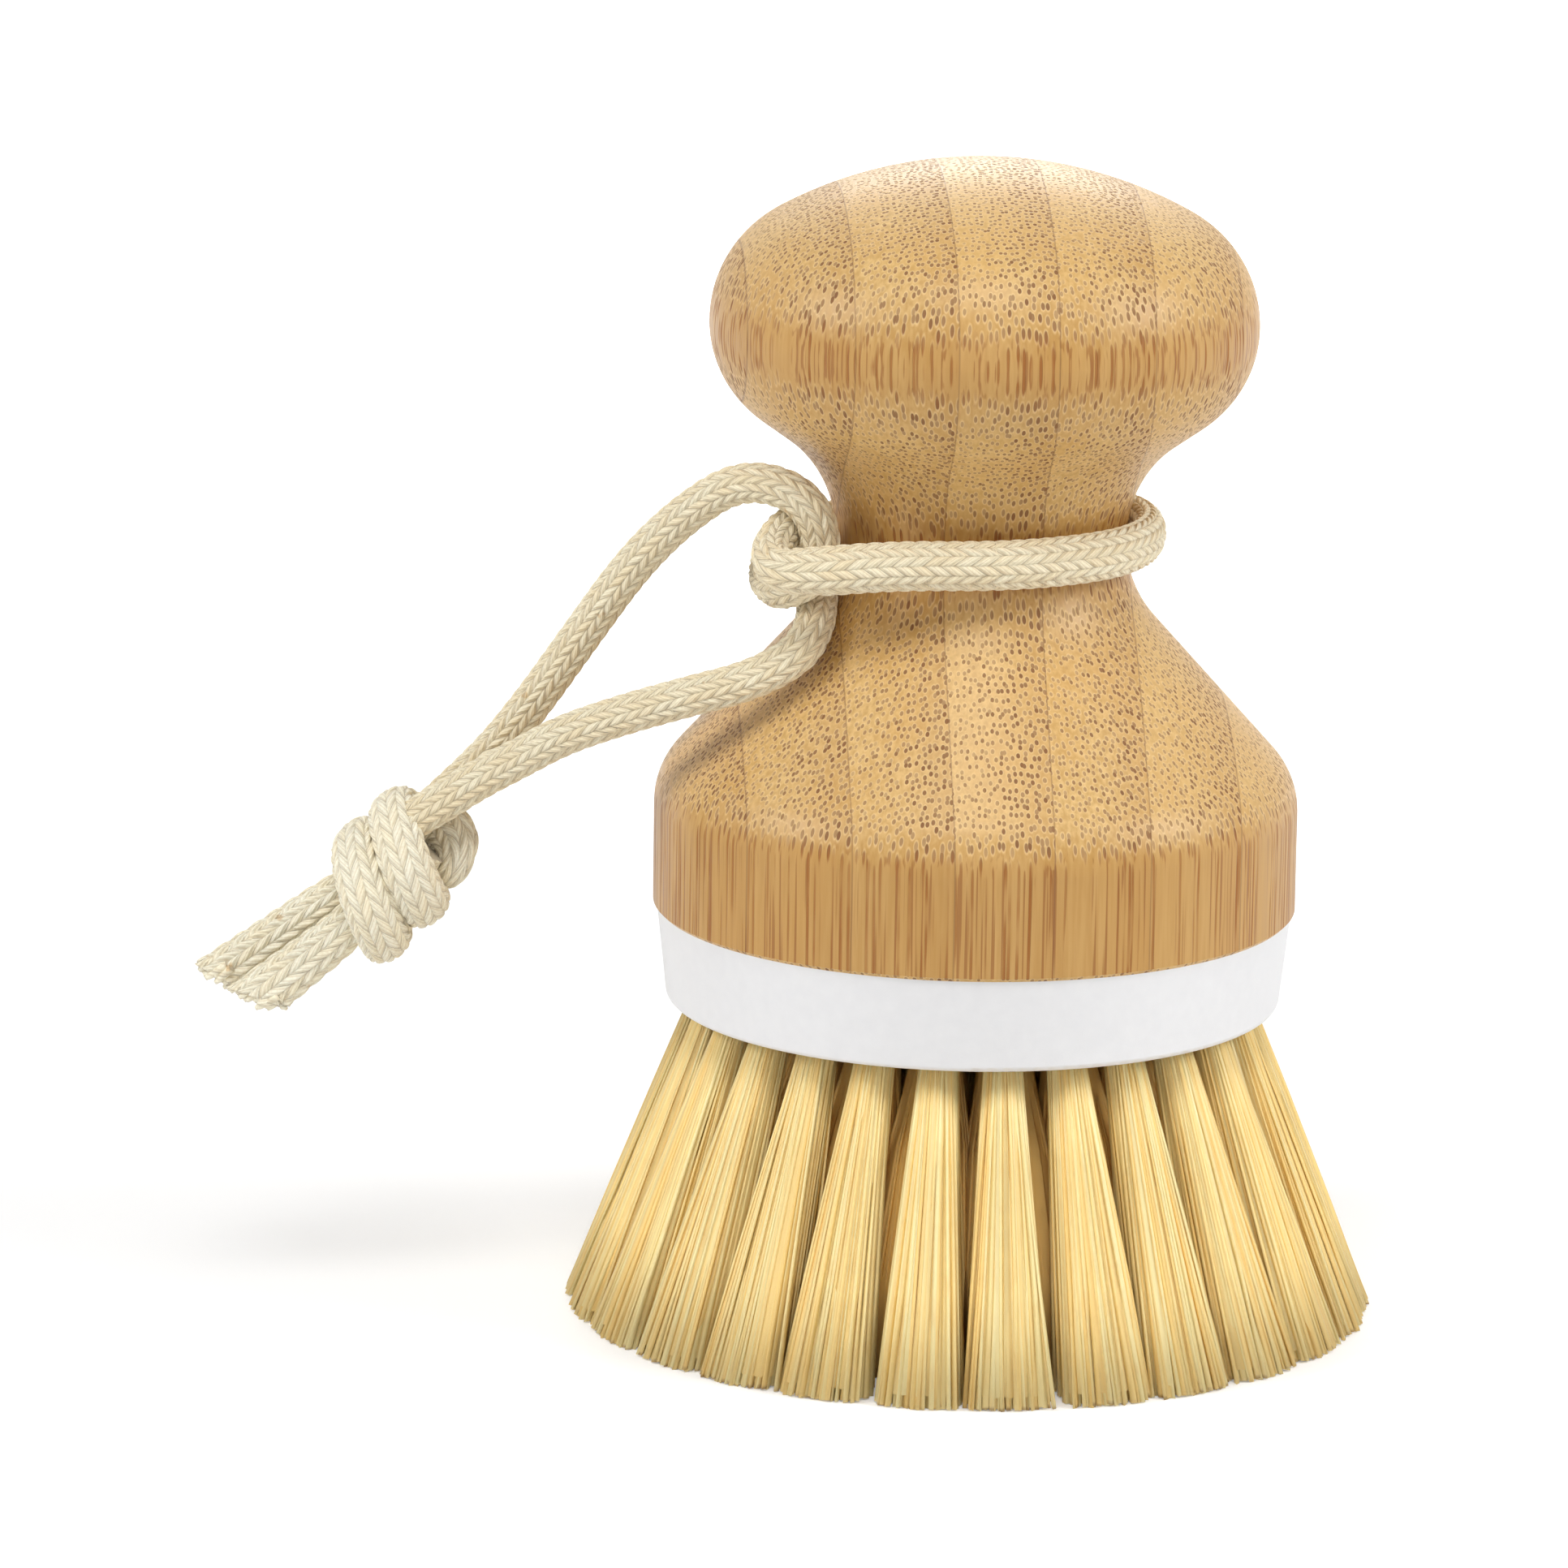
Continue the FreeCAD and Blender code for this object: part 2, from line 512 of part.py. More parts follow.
def knot(neighbours):
    """The doubled overhand knot's outer form: two wraps, the core they lie on and the bight."""
    axis = Rotation(UP, Vector(*KNOT_AXIS))
    pieces = []
    for index, centre in enumerate(KNOT_RING_CENTRES):
        wrap = add("Part::Torus", f"knot_wrap_{index + 1}", Placement=Placement(beside_neck(centre), axis))
        bind(wrap, Radius1="sizes.knot_wrap_radius", Radius2="sizes.cord_diameter * 0.62")
        pieces.append(wrap)
    core = add("Part::Ellipsoid", "knot_core", Placement=Placement(beside_neck(KNOT_CORE_CENTRE), axis))
    bind(core, Radius1="sizes.knot_wrap_radius * 1.15", Radius2="sizes.knot_wrap_radius", Radius3="0")
    bight = add("Part::Ellipsoid", "knot_bight", Placement=Placement(beside_neck(KNOT_BIGHT_CENTRE), axis))
    bind(bight, Radius1="sizes.cord_diameter * 0.62", Radius2="sizes.cord_diameter", Radius3="0")
    shape = add("Part::MultiFuse", "knot_form", Shapes=pieces + [core, bight])
    for number, neighbour in enumerate(neighbours, start=1):
        shape = cut(f"knot_fitted_{number}", shape, neighbour)
    shape.Label = "cord_knot"
    return shape


trim_block = add("Part::Box", "trim_block")
wide = "sizes.base_radius * 4"
bind(trim_block, Length=wide, Width=wide, Height="sizes.head_thickness * 2",
     Placement=f"placement(vector(-{wide} / 2; -{wide} / 2; -sizes.head_thickness * 2); rotation(vector(0; 0; 1); 0))")

nodes = laminae(handle_blank())
doc.recompute()
bristle_nodes, tuft_holes, anchor_slots = bristles()
doc.recompute()
head = cut("bristle_head", cut("drilled_head", head_blank(), tuft_holes), anchor_slots)
nodes += [head] + bristle_nodes
strands = cord_tubes()
ends = [loose_end("cord_end_a", END_A_ROUTE), loose_end("cord_end_b", END_B_ROUTE)]
nodes += strands + ends
nodes.append(knot([strands[0], strands[2]] + ends))
doc.recompute()

for thing in doc.Objects:
    faults = [word for word in thing.State if word in ("Invalid", "Error")]
    if faults:
        raise RuntimeError(f"{thing.Label}: {thing.State}")
os.makedirs("parts", exist_ok=True)
for node in nodes:
    if node.Shape.isNull() or not node.Shape.isValid() or not node.Shape.Solids:
        raise RuntimeError(f"{node.Label}: no valid solid")
    node.Shape.exportStep(f"parts/{node.Label}.step")
    print(node.Label, len(node.Shape.Solids), round(node.Shape.Volume, 1))
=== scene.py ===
import math

import bpy
import numpy as np
from mathutils import Matrix, Vector

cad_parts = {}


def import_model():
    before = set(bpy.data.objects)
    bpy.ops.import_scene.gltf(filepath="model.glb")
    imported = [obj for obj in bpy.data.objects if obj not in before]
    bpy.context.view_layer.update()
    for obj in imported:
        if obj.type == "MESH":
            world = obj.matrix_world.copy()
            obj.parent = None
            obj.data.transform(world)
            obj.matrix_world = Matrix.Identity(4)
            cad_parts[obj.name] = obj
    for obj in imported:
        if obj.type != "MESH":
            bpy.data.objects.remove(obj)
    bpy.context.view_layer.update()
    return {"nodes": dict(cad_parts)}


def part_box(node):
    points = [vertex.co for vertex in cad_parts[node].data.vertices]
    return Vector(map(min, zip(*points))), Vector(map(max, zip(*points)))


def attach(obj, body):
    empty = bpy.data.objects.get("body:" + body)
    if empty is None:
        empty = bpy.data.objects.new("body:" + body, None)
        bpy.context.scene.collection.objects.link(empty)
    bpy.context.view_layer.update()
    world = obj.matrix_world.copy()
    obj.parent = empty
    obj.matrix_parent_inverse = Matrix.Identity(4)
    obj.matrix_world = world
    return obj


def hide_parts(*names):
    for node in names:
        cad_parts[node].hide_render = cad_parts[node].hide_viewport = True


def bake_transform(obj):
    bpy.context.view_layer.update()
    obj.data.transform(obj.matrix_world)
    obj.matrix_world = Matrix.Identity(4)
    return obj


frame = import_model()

MM = 0.001


def srgb(red, green, blue):
    """A colour as it looks on a screen, 0 to 255, as linear light."""
    shares = np.array((red, green, blue)) / 255
    linear = np.where(shares <= 0.04045, shares / 12.92, ((shares + 0.055) / 1.055) ** 2.4)
    return (*(float(value) for value in linear), 1.0)


# The handle and the head, as the frame has them.
HEAD_LOW, HEAD_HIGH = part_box("bristle_head")
HEAD_BOTTOM = HEAD_LOW[2]
BASE_RADIUS = -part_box("base_left_edge_strip")[0][0]
STRIP_SHARE = 0.302
STRIP_WIDTH = BASE_RADIUS * STRIP_SHARE
STRIP_TURN = math.radians(5.4)

# The tufts: rows from the outside in, as in the head.
# Shares along a tuft run from its root, 0, to its tips, 1.
TUFT_COUNTS = (26, 19, 12, 6, 1)
HEAD_RIM = 4.5 * MM
OUTER_ROW_RADIUS = HEAD_HIGH[0] - HEAD_RIM
FLARE_SHARE = 1.4
ROOT_RADIUS = 1.45 * MM
ROOT_COVER = 1.2 * MM
ROOT_SHARE = -ROOT_COVER / HEAD_BOTTOM
ROW_SWELLS = (0.0, 1.1 * MM, 0.8 * MM, 0.8 * MM, 0.8 * MM)
TIP_REACHES_OUT = (3.0 * MM, 3.6 * MM, 3.6 * MM, 3.6 * MM, 3.6 * MM)
TIP_REACHES_ASIDE = (3.15 * MM, 3.5 * MM, 3.5 * MM, 3.5 * MM, 3.5 * MM)
TIP_SQUARENESS = 0.6
TIP_LEAN = 0.18 * MM
TIP_SCATTER_OUT = 0.08 * MM
TIP_SCATTER_ASIDE = 0.16 * MM
TRIM_HEIGHTS_IN_MM = (0.02, 0.25)
FIBRE_RADII = (0.16 * MM, 0.26 * MM)
FIBRE_SIZES = (0.8, 1.15)
FIBRE_SIDES = 3
FIBRE_COUNTS = (340, 170, 140, 140, 140)
FIBRE_SHARES = (1.0, 0.66, 0.3, ROOT_SHARE)
FIBRE_BOW = 0.09 * MM
SHELL_POWER = 0.34
STRAY_ABOVE = 0.96
STRAY_REACH = 0.22
STRAY_REACH_OUT = 0.02
CORE_SHARE = 0.97
CORE_SIDES = 40
CORE_SHARES = (0.96, 0.7, 0.35, 0.05, ROOT_SHARE)
CORE_FLUTE = 0.05
CORE_SIZES = (0.95, 1.05)
CORE_LAST_ALONG = 0.9
GOLDEN_ANGLE = math.pi * (3 - math.sqrt(5))

# The cord's route from the knot up the upper strand, round the neck and back down the lower strand.
CORD_ROUTE = (
    (-45.4, -2.7, 39.2), (-40.1, -2.4, 44.1), (-36.2, -2.4, 48.9), (-31.9, -3.0, 55.3), (-27.7, -4.6, 61.6),
    (-23.7, -6.4, 66.0), (-19.3, -8.2, 69.3), (-14.9, -9.6, 68.9), (-12.6, -10.4, 66.2),
    (-12.8, -10.6, 62.4), (-15.4, -8.9, 60.4), (-17.0, -4.6, 60.2), (-16.8, 1.4, 61.4), (-12.7, 7.9, 62.8),
    (-3.0, 14.3, 63.6), (8.0, 12.2, 63.8), (14.3, 3.0, 63.9), (12.2, -8.0, 63.9), (3.0, -14.3, 63.9),
    (-6.8, -14.4, 63.8), (-12.4, -15.2, 63.4), (-16.1, -14.6, 63.2), (-16.7, -11.6, 64.2),
    (-15.5, -8.6, 65.5), (-14.2, -6.6, 65.6), (-13.2, -4.7, 63.8), (-12.9, -5.1, 61.0), (-12.9, -6.9, 58.8),
    (-13.1, -9.8, 57.5), (-14.4, -11.4, 55.7), (-18.0, -11.6, 53.7), (-22.9, -11.0, 52.2),
    (-28.0, -9.8, 50.4), (-33.0, -8.4, 48.3), (-36.6, -7.2, 46.0), (-39.8, -6.5, 44.1), (-42.4, -6.2, 42.3),
    (-45.0, -6.0, 40.6),
)
CORD_DIAMETER = 3.3 * MM
BRAID_COLUMNS = 14
BRAID_PERIOD = 1.25 * MM
BRAID_TILT = 0.85
BRAID_RELIEF = 0.22 * MM
BRAID_STEP = 0.2 * MM
BRAID_SIDES = 70
YARN_ROUNDNESS = 0.7
CREASE_DEPTH = 0.7
CREASE_POWER = 4
LOOP_HEIGHT_SHARE = 1.22
LOOP_DEPTH_SHARE = 0.86
LOOP_START, LOOP_END = 78 * MM, 142 * MM
LOOP_EASE = 8 * MM

# The knot, in its own frame: along the cord towards the ends, across it downwards, and back.
KNOT_CENTRE = np.array((-46.6, -4.3, 36.0)) * MM
KNOT_ALONG = np.array((-0.741, 0.0, -0.671))
KNOT_ACROSS = np.array((0.671, 0.0, -0.741))
KNOT_BACK = np.array((0.0, 1.0, 0.0))
KNOT_FRAME = np.stack([KNOT_ALONG, KNOT_ACROSS, KNOT_BACK])
KNOT_DIAMETER = 3.8 * MM
KNOT_DEPTH_SHARE = 0.84
KNOT_WIDTH_SHARE = 1.16
KNOT_ROUTE = (
    (-3.4, -2.2, 2.4), (-4.6, -0.6, 2.4), (-5.0, 1.0, 1.6), (-4.4, 2.3, 0.8), (-2.9, 3.0, 1.2),
    (-2.3, 1.6, 3.2), (-2.6, -1.8, 3.4), (-3.1, -4.0, 1.2), (-2.9, -3.7, -1.8), (-1.7, -0.6, -4.0),
    (-0.4, 3.0, -3.0), (0.2, 4.1, -0.2), (0.1, 2.6, 2.8), (0.3, -1.2, 3.5), (0.7, -3.9, 1.6),
    (1.2, -3.7, -1.6), (2.5, -0.6, -4.0), (3.9, 3.1, -3.0), (4.5, 4.3, -0.2), (3.8, 2.6, 2.4),
    (2.8, 0.2, 2.4),
)
KNOT_CORE_ROUTE = ((-2.8, -0.6, 0.2), (-1.0, -0.2, 0.2), (1.4, 0.2, 0.2), (3.8, 0.4, 0.2))
KNOT_CORE_DIAMETER = 5.6 * MM

# The loosened ends, in the knot's frame: flattened braids from inside the knot to a slanted, frayed cut.
END_ROUTES = {
    "cord_end_a": ((2.0, 0.6, -1.0), (6.5, 0.9, -1.4), (11.0, 0.6, -1.6), (15.6, 0.4, -1.7)),
    "cord_end_b": ((2.0, -1.0, 0.6), (6.5, -1.6, 0.9), (12.0, -2.0, 1.2), (17.4, -2.5, 1.3)),
}
END_SLANTS = {"cord_end_a": 0.6, "cord_end_b": 0.4}
END_WIDTH_SHARES = (1.0, 1.36)
END_DEPTH_SHARES = (0.75, 0.56)
END_PERIOD = 1.7 * MM
END_RELIEF = 0.34 * MM
FRAY_LENGTH = 2.2 * MM
FRAY_DEPTH = 0.6 * MM
STUB_COUNT = 14
STUB_PLACES = (0.5, 0.85)
STUB_LEAN = 0.16
STUB_LENGTHS = (0.1 * MM, 0.7 * MM)
STUB_ROOT = 1.6 * MM
STUB_RADIUS = 0.34 * MM
STUB_TAPER = (1, 1, 1, 1, 1, 0.92, 0.8, 0.55)
STUB_SIDES = 8
STUB_WEAVE = 0.9

# The stage: sizes in metres, powers in watts, angles in degrees.
FLOOR_REACH = 3.0
FLOOR_TONE = srgb(240, 240, 240)
FLOOR_GLOW = 0.2
FLOOR_GLOW_REACH = (0.08, 0.5)
WORLD_LIGHT = 0.25
LAMP_TARGET = (0.0, 0.0, 0.05)
LAMPS = {
    "front": {"place": (0.0, -1.0, 0.3), "size": 0.4, "power": 0.85},
    "left": {"place": (-0.9, -0.3, 0.6), "size": 0.5, "power": 4.4},
    "right": {"place": (0.9, -0.2, 0.6), "size": 0.5, "power": 5.3},
    "top": {"place": (0.0, -0.5, 0.95), "size": 0.5, "power": 4.0},
    "back": {"place": (0.0, 1.0, 0.5), "size": 0.5, "power": 2.7},
}
CAMERA_PLACE = (0.0, -0.7109, 0.2090)
CAMERA_PITCH, CAMERA_YAW, CAMERA_ROLL = 13.17, -1.25, 0.80
CAMERA_LENS, CAMERA_SENSOR = 207.3, 36.0
CAMERA_NEAR = 0.01

# The looks: rates are per metre, in bamboo first in the plane and then upwards.
# As a pattern goes through a tint's band, the tint goes from its first strength to its second.
WHITE = srgb(255, 255, 255)
NOISE_BAND = (0.3, 0.7)

# Bamboo: the sizes of pores and of the painted highlight rims round them are shares of the bundles' spacing.
BUNDLE_SPACING = 0.5 * MM
BUNDLE_SCATTER = 0.75
LAMINA_SHIFT = 0.371
DRIFT_RATES = (90.0, 60.0)
PORE_RADIUS_SHARES = (0.27, 0.34)
PORE_WALL_SHARE = 0.85
PORE_INSET_SHARE = 0.09
PORE_OUTSET_SHARE = 0.06
PORE_GAP_CHANCES = (0.14, -0.1)
PORE_GAP_END = 0.8
PORE_GAP_WALL_LOSS = 0.15
PORE_GAP_BLUR = 0.1
PORE_BREAK_SPREAD = 80.0
PORE_BREAK_RATE = 170.0
PORE_BREAK_BAND = (0.3, 0.55)
PORE_BREAK_LEASTS = (0.75, 0.2)
PORE_LEAST_DARKNESS = 0.7
PORE_SIDE_DARKNESS = 0.8
PORE_SIDE_END = 0.7
PORE_STRENGTH = 0.9
PORE_TONES = (srgb(112, 60, 8), srgb(148, 86, 20))
PORE_ROUGHNESS = 0.25
PORE_DEPTH = 0.05 * MM
# Painted highlight: a light ring round each pore on the flatter faces, standing in for glints on their raised
# edges.
HIGHLIGHT_RIM_WIDTH_SHARE = 0.2
HIGHLIGHT_RIM_STRENGTH = 0.45
PAINTED_HIGHLIGHT_TONE = srgb(248, 216, 158)
WALL_BAND = (0.08, 0.4)
GRAIN_RATES = (2600.0, 130.0)
GRAIN_BAND = (0.3, 0.72)
GRAIN_TONES = (srgb(196, 155, 90), srgb(223, 186, 123))
GRAIN_ROUGHNESSES = (0.36, 0.46)
GRAIN_DEPTH_SHARE = 0.12
CLOUD_RATES = (160.0, 45.0)
CLOUD_TINT = {"band": (0.35, 0.7), "strengths": (0.0, 0.4), "colour": srgb(204, 155, 81)}
STREAK_RATES = (3400.0, 45.0)
STREAK_TINT = {"band": (0.57, 0.66), "strengths": (0.0, 0.75), "colour": srgb(146, 88, 24)}
LAMINA_STRENGTH = 0.3
LAMINA_TONE = srgb(221, 182, 114)
LAMINA_SIDE_TINT = {"band": (0.45, 1.0), "strengths": (0.0, 0.35), "colour": srgb(184, 138, 72)}
# Painted shade: upright walls are darkened, standing in for the shade they get while the light falls mostly
# from above and the sides.
PAINTED_WALL_SHADE_TINT = {"band": (0.05, 0.85), "strengths": (0.6, 0.0), "colour": srgb(177, 128, 56)}
GLUE_TINT = {"band": (0.003, 0.012), "strengths": (0.45, 0.0), "colour": srgb(120, 76, 36)}

# White plastic and steel wire.
PLASTIC_MOTTLE_RATE = 900.0
PLASTIC_TONES = (srgb(228, 228, 230), srgb(236, 236, 237))
PLASTIC_ROUGHNESSES = (0.34, 0.44)
PLASTIC_GRAIN_RATE = 5200.0
PLASTIC_GRAIN_DEPTH = 0.004 * MM
WIRE_RATE = 4000.0
WIRE_TONES = (srgb(150, 150, 152), srgb(196, 196, 198))
WIRE_DEPTH = 0.005 * MM

# Plant fibre: its streaks change from fibre to fibre and along each one.
FIBRE_TONES = (srgb(254, 218, 138), srgb(255, 238, 176))
# Painted shade: the inner rows get a darker, warmer tone, standing in for the warm shade in the gaps between
# the outer tufts.
FIBRE_INNER_SHADE_STRENGTH = 0.7
FIBRE_INNER_SHADE_TONE = srgb(252, 200, 104)
FIBRE_STREAK_SPREAD = 900.0
FIBRE_STREAK_RATE = 9.0
FIBRE_STREAK_TINT = {"band": (0.45, 0.75), "strengths": (0.0, 0.3), "colour": srgb(238, 192, 112)}
FIBRE_STREAK_DEPTH = 0.02 * MM
FIBRE_TIP_START = 0.985
FIBRE_TIP_STRENGTH = 0.7
FIBRE_TIP_TINT = {"band": (0.5, 0.6), "strengths": (0.0, 1.0), "colour": srgb(150, 100, 50)}
FIBRE_ROUGHNESS_BAND = (0.3, 0.75)
FIBRE_ROUGHNESSES = (0.36, 0.5)

# Cotton: the yarns of the woven cord, and paler ones for its knot and ends, painted lighter and with less
# crease shade to stand in for the stronger light there.
WOVEN_YARNS = (srgb(246, 230, 193), srgb(252, 243, 214))
WOVEN_CREASE_SHADE = 0.62
# Painted light: a paler copy of the cotton, standing in for the stronger light on the knot and ends.
KNOT_PAINTED_LIGHT_YARNS = (srgb(254, 244, 214), srgb(255, 251, 230))
KNOT_CREASE_SHADE = 0.5
# Painted shade: the creases between the yarns are browned, standing in for the shade that falls in them.
CREASE_SHADE_BAND = (0.0, 0.45)
PAINTED_CREASE_SHADE = srgb(146, 118, 76)
COLUMN_SHIFT = 31.7
YARN_DEPTH = 0.16 * MM
PLY_COUNT = 3
PLY_LEAN = 2.0
# Painted shade: the grooves between the plies are darkened.
PLY_GROOVE_SHADE_TINT = {"band": (-1.0, -0.2), "strengths": (0.32, 0.0), "colour": srgb(188, 160, 112)}
PLY_DEPTH_SHARE = 0.1
FLUFF_RATE = 5200.0
FLUFF_TINT = {"band": (0.35, 0.75), "strengths": (0.0, 0.3), "colour": srgb(222, 202, 162)}
FLUFF_DEPTH_SHARE = 0.3
FLECK_RATE = 620.0
FLECK_TINT = {"band": (0.69, 0.76), "strengths": (0.0, 0.55), "colour": srgb(206, 160, 82)}
COTTON_ROUGHNESSES = (0.8, 0.95)

random = np.random.default_rng(7)


class Shader:
    """A material's node tree, built by short calls that return sockets."""

    def __init__(self, name, **sockets):
        self.material = bpy.data.materials.new(name)
        self.material.use_nodes = True
        self.tree = self.material.node_tree
        self.tree.nodes.clear()
        self.surface = self.node("ShaderNodeBsdfPrincipled")
        for socket, value in sockets.items():
            self.feed(self.surface.inputs[socket.replace("_", " ")], value)
        output = self.node("ShaderNodeOutputMaterial")
        self.tree.links.new(self.surface.outputs["BSDF"], output.inputs["Surface"])

    def node(self, kind, **settings):
        node = self.tree.nodes.new(kind)
        for key, value in settings.items():
            setattr(node, key, value)
        return node

    def feed(self, socket, value):
        if isinstance(value, bpy.types.NodeSocket):
            self.tree.links.new(value, socket)
        else:
            socket.default_value = value

    def math(self, operation, *values):
        node = self.node("ShaderNodeMath", operation=operation)
        for socket, value in zip(node.inputs, values):
            self.feed(socket, value)
        return node.outputs[0]

    def step(self, value, low, high, to_low=0.0, to_high=1.0, smooth=True):
        """Goes from to_low to to_high as the value goes from low to high."""
        node = self.node("ShaderNodeMapRange", interpolation_type="SMOOTHSTEP" if smooth else "LINEAR")
        for socket, given in zip(node.inputs, (value, low, high, to_low, to_high)):
            self.feed(socket, given)
        return node.outputs[0]

    def scaled(self, value, factor):
        return self.math("MULTIPLY", value, factor)

    def stretched(self, across, depth, height, rate, rise):
        """A place for a pattern with its own rates in the plane and upwards."""
        return self.joined(self.scaled(across, rate), self.scaled(depth, rate), self.scaled(height, rise))

    def mix(self, share, first, second):
        node = self.node("ShaderNodeMix", data_type="RGBA")
        colours = [socket for socket in node.inputs if socket.type == "RGBA"]
        self.feed(node.inputs[0], share)
        self.feed(colours[0], first)
        self.feed(colours[1], second)
        return next(socket for socket in node.outputs if socket.type == "RGBA")

    def tint(self, base, pattern, band, strengths, colour, where=1.0):
        """The base with a colour over it, as strong as the pattern's place in the band says."""
        return self.mix(self.scaled(self.step(pattern, *band, *strengths), where), base, colour)

    def joined(self, first, second, third):
        node = self.node("ShaderNodeCombineXYZ")
        for socket, value in zip(node.inputs, (first, second, third)):
            self.feed(socket, value)
        return node.outputs[0]

    def parted(self, vector):
        node = self.node("ShaderNodeSeparateXYZ")
        self.feed(node.inputs[0], vector)
        return node.outputs[0], node.outputs[1], node.outputs[2]

    def place(self):
        return self.node("ShaderNodeTexCoord").outputs["Object"]

    def facing(self):
        return self.node("ShaderNodeTexCoord").outputs["Normal"]

    def attribute(self, name):
        return self.node("ShaderNodeAttribute", attribute_name=name).outputs["Fac"]

    def weave(self):
        return self.parted(self.node("ShaderNodeUVMap", uv_map="weave").outputs[0])

    def noise(self, vector, scale=1.0, detail=2.0):
        node = self.node("ShaderNodeTexNoise")
        for name, value in (("Vector", vector), ("Scale", scale), ("Detail", detail)):
            self.feed(node.inputs[name], value)
        return node.outputs[0]

    def random(self, value):
        node = self.node("ShaderNodeTexWhiteNoise", noise_dimensions="1D")
        self.feed(node.inputs["W"], value)
        return node.outputs["Value"]

    def cells(self, first, second, randomness):
        """Cells in a plane: the distance to the nearest cell point, and two random numbers of that cell."""
        node = self.node("ShaderNodeTexVoronoi", voronoi_dimensions="2D")
        inputs = {"Vector": self.joined(first, second, 0.0), "Scale": 1.0, "Randomness": randomness}
        for name, value in inputs.items():
            self.feed(node.inputs[name], value)
        red, green, _ = self.parted(node.outputs["Color"])
        return node.outputs["Distance"], red, green

    def colour(self, value):
        self.feed(self.surface.inputs["Base Color"], value)

    def rough(self, value):
        self.feed(self.surface.inputs["Roughness"], value)

    def relief(self, height, depth):
        node = self.node("ShaderNodeBump")
        self.feed(node.inputs["Height"], height)
        self.feed(node.inputs["Strength"], 1.0)
        self.feed(node.inputs["Distance"], depth)
        self.feed(self.surface.inputs["Normal"], node.outputs[0])


def bamboo_places(shader):
    """Places across the laminae, in depth and upwards, each lamina's number and the share across it."""
    x, y, z = shader.parted(shader.place())
    cos, sin = math.cos(STRIP_TURN), math.sin(STRIP_TURN)
    across = shader.math("ADD", shader.scaled(x, cos), shader.scaled(y, sin))
    depth = shader.math("SUBTRACT", shader.scaled(y, cos), shader.scaled(x, sin))
    strips = shader.math("ADD", shader.math("DIVIDE", across, STRIP_WIDTH), 0.5)
    return across, depth, z, shader.math("FLOOR", strips), shader.math("FRACT", strips)


def bamboo_pores(shader, places, steep):
    """The cut ends of the bundles, dark inside and with a painted highlight rim; on steep walls they become
    streaks.
    """
    across, depth, z, index, share = places
    bundle_rate = 1.0 / BUNDLE_SPACING
    shifted = shader.math("ADD", depth, shader.scaled(index, LAMINA_SHIFT))
    drift = shader.noise(shader.stretched(across, depth, z, *DRIFT_RATES), detail=1.0)
    distance, chance, darkness = shader.cells(
        shader.math("ADD", shader.scaled(across, bundle_rate), drift),
        shader.math("ADD", shader.scaled(shifted, bundle_rate), drift), BUNDLE_SCATTER)

    wider_to_one_side = shader.step(share, 0.0, 1.0, *PORE_RADIUS_SHARES, smooth=False)
    radius = shader.math("MULTIPLY", wider_to_one_side, shader.step(steep, 0.0, 1.0, 1.0, PORE_WALL_SHARE))
    inner_edge = shader.math("SUBTRACT", radius, PORE_INSET_SHARE)
    outer_edge = shader.math("ADD", radius, PORE_OUTSET_SHARE)
    spot = shader.step(distance, inner_edge, outer_edge, 1.0, 0.0)

    fewer_to_one_side = shader.step(share, 0.0, PORE_GAP_END, *PORE_GAP_CHANCES, smooth=False)
    needed = shader.math("SUBTRACT", fewer_to_one_side, shader.scaled(steep, PORE_GAP_WALL_LOSS))
    least_chance = shader.math("SUBTRACT", needed, PORE_GAP_BLUR)
    kept = shader.step(chance, least_chance, shader.math("ADD", needed, PORE_GAP_BLUR))

    own_place = shader.joined(
        shader.scaled(darkness, PORE_BREAK_SPREAD), shader.scaled(z, PORE_BREAK_RATE), index)
    broken = shader.noise(own_place, detail=1.0)
    least = shader.step(steep, 0.0, 1.0, *PORE_BREAK_LEASTS)
    own_tone = shader.step(darkness, 0.0, 1.0, PORE_LEAST_DARKNESS, 1.0)
    side_tone = shader.step(share, 0.0, PORE_SIDE_END, PORE_SIDE_DARKNESS, 1.0)
    depth_of_tone = shader.math("MULTIPLY", own_tone, side_tone)
    strong = shader.math("MULTIPLY", shader.step(broken, *PORE_BREAK_BAND, least, 1.0), depth_of_tone)
    pores = shader.math("MULTIPLY", shader.math("MULTIPLY", spot, kept), strong)

    # Painted highlight: the light ring round each kept pore, fading out on steep walls.
    highlight_share = shader.math("MULTIPLY", kept, shader.step(steep, 0.0, 1.0, HIGHLIGHT_RIM_STRENGTH, 0.0))
    rim = shader.step(distance, radius, shader.math("ADD", radius, HIGHLIGHT_RIM_WIDTH_SHARE), 1.0, 0.0)
    return pores, shader.math("MULTIPLY", rim, highlight_share)


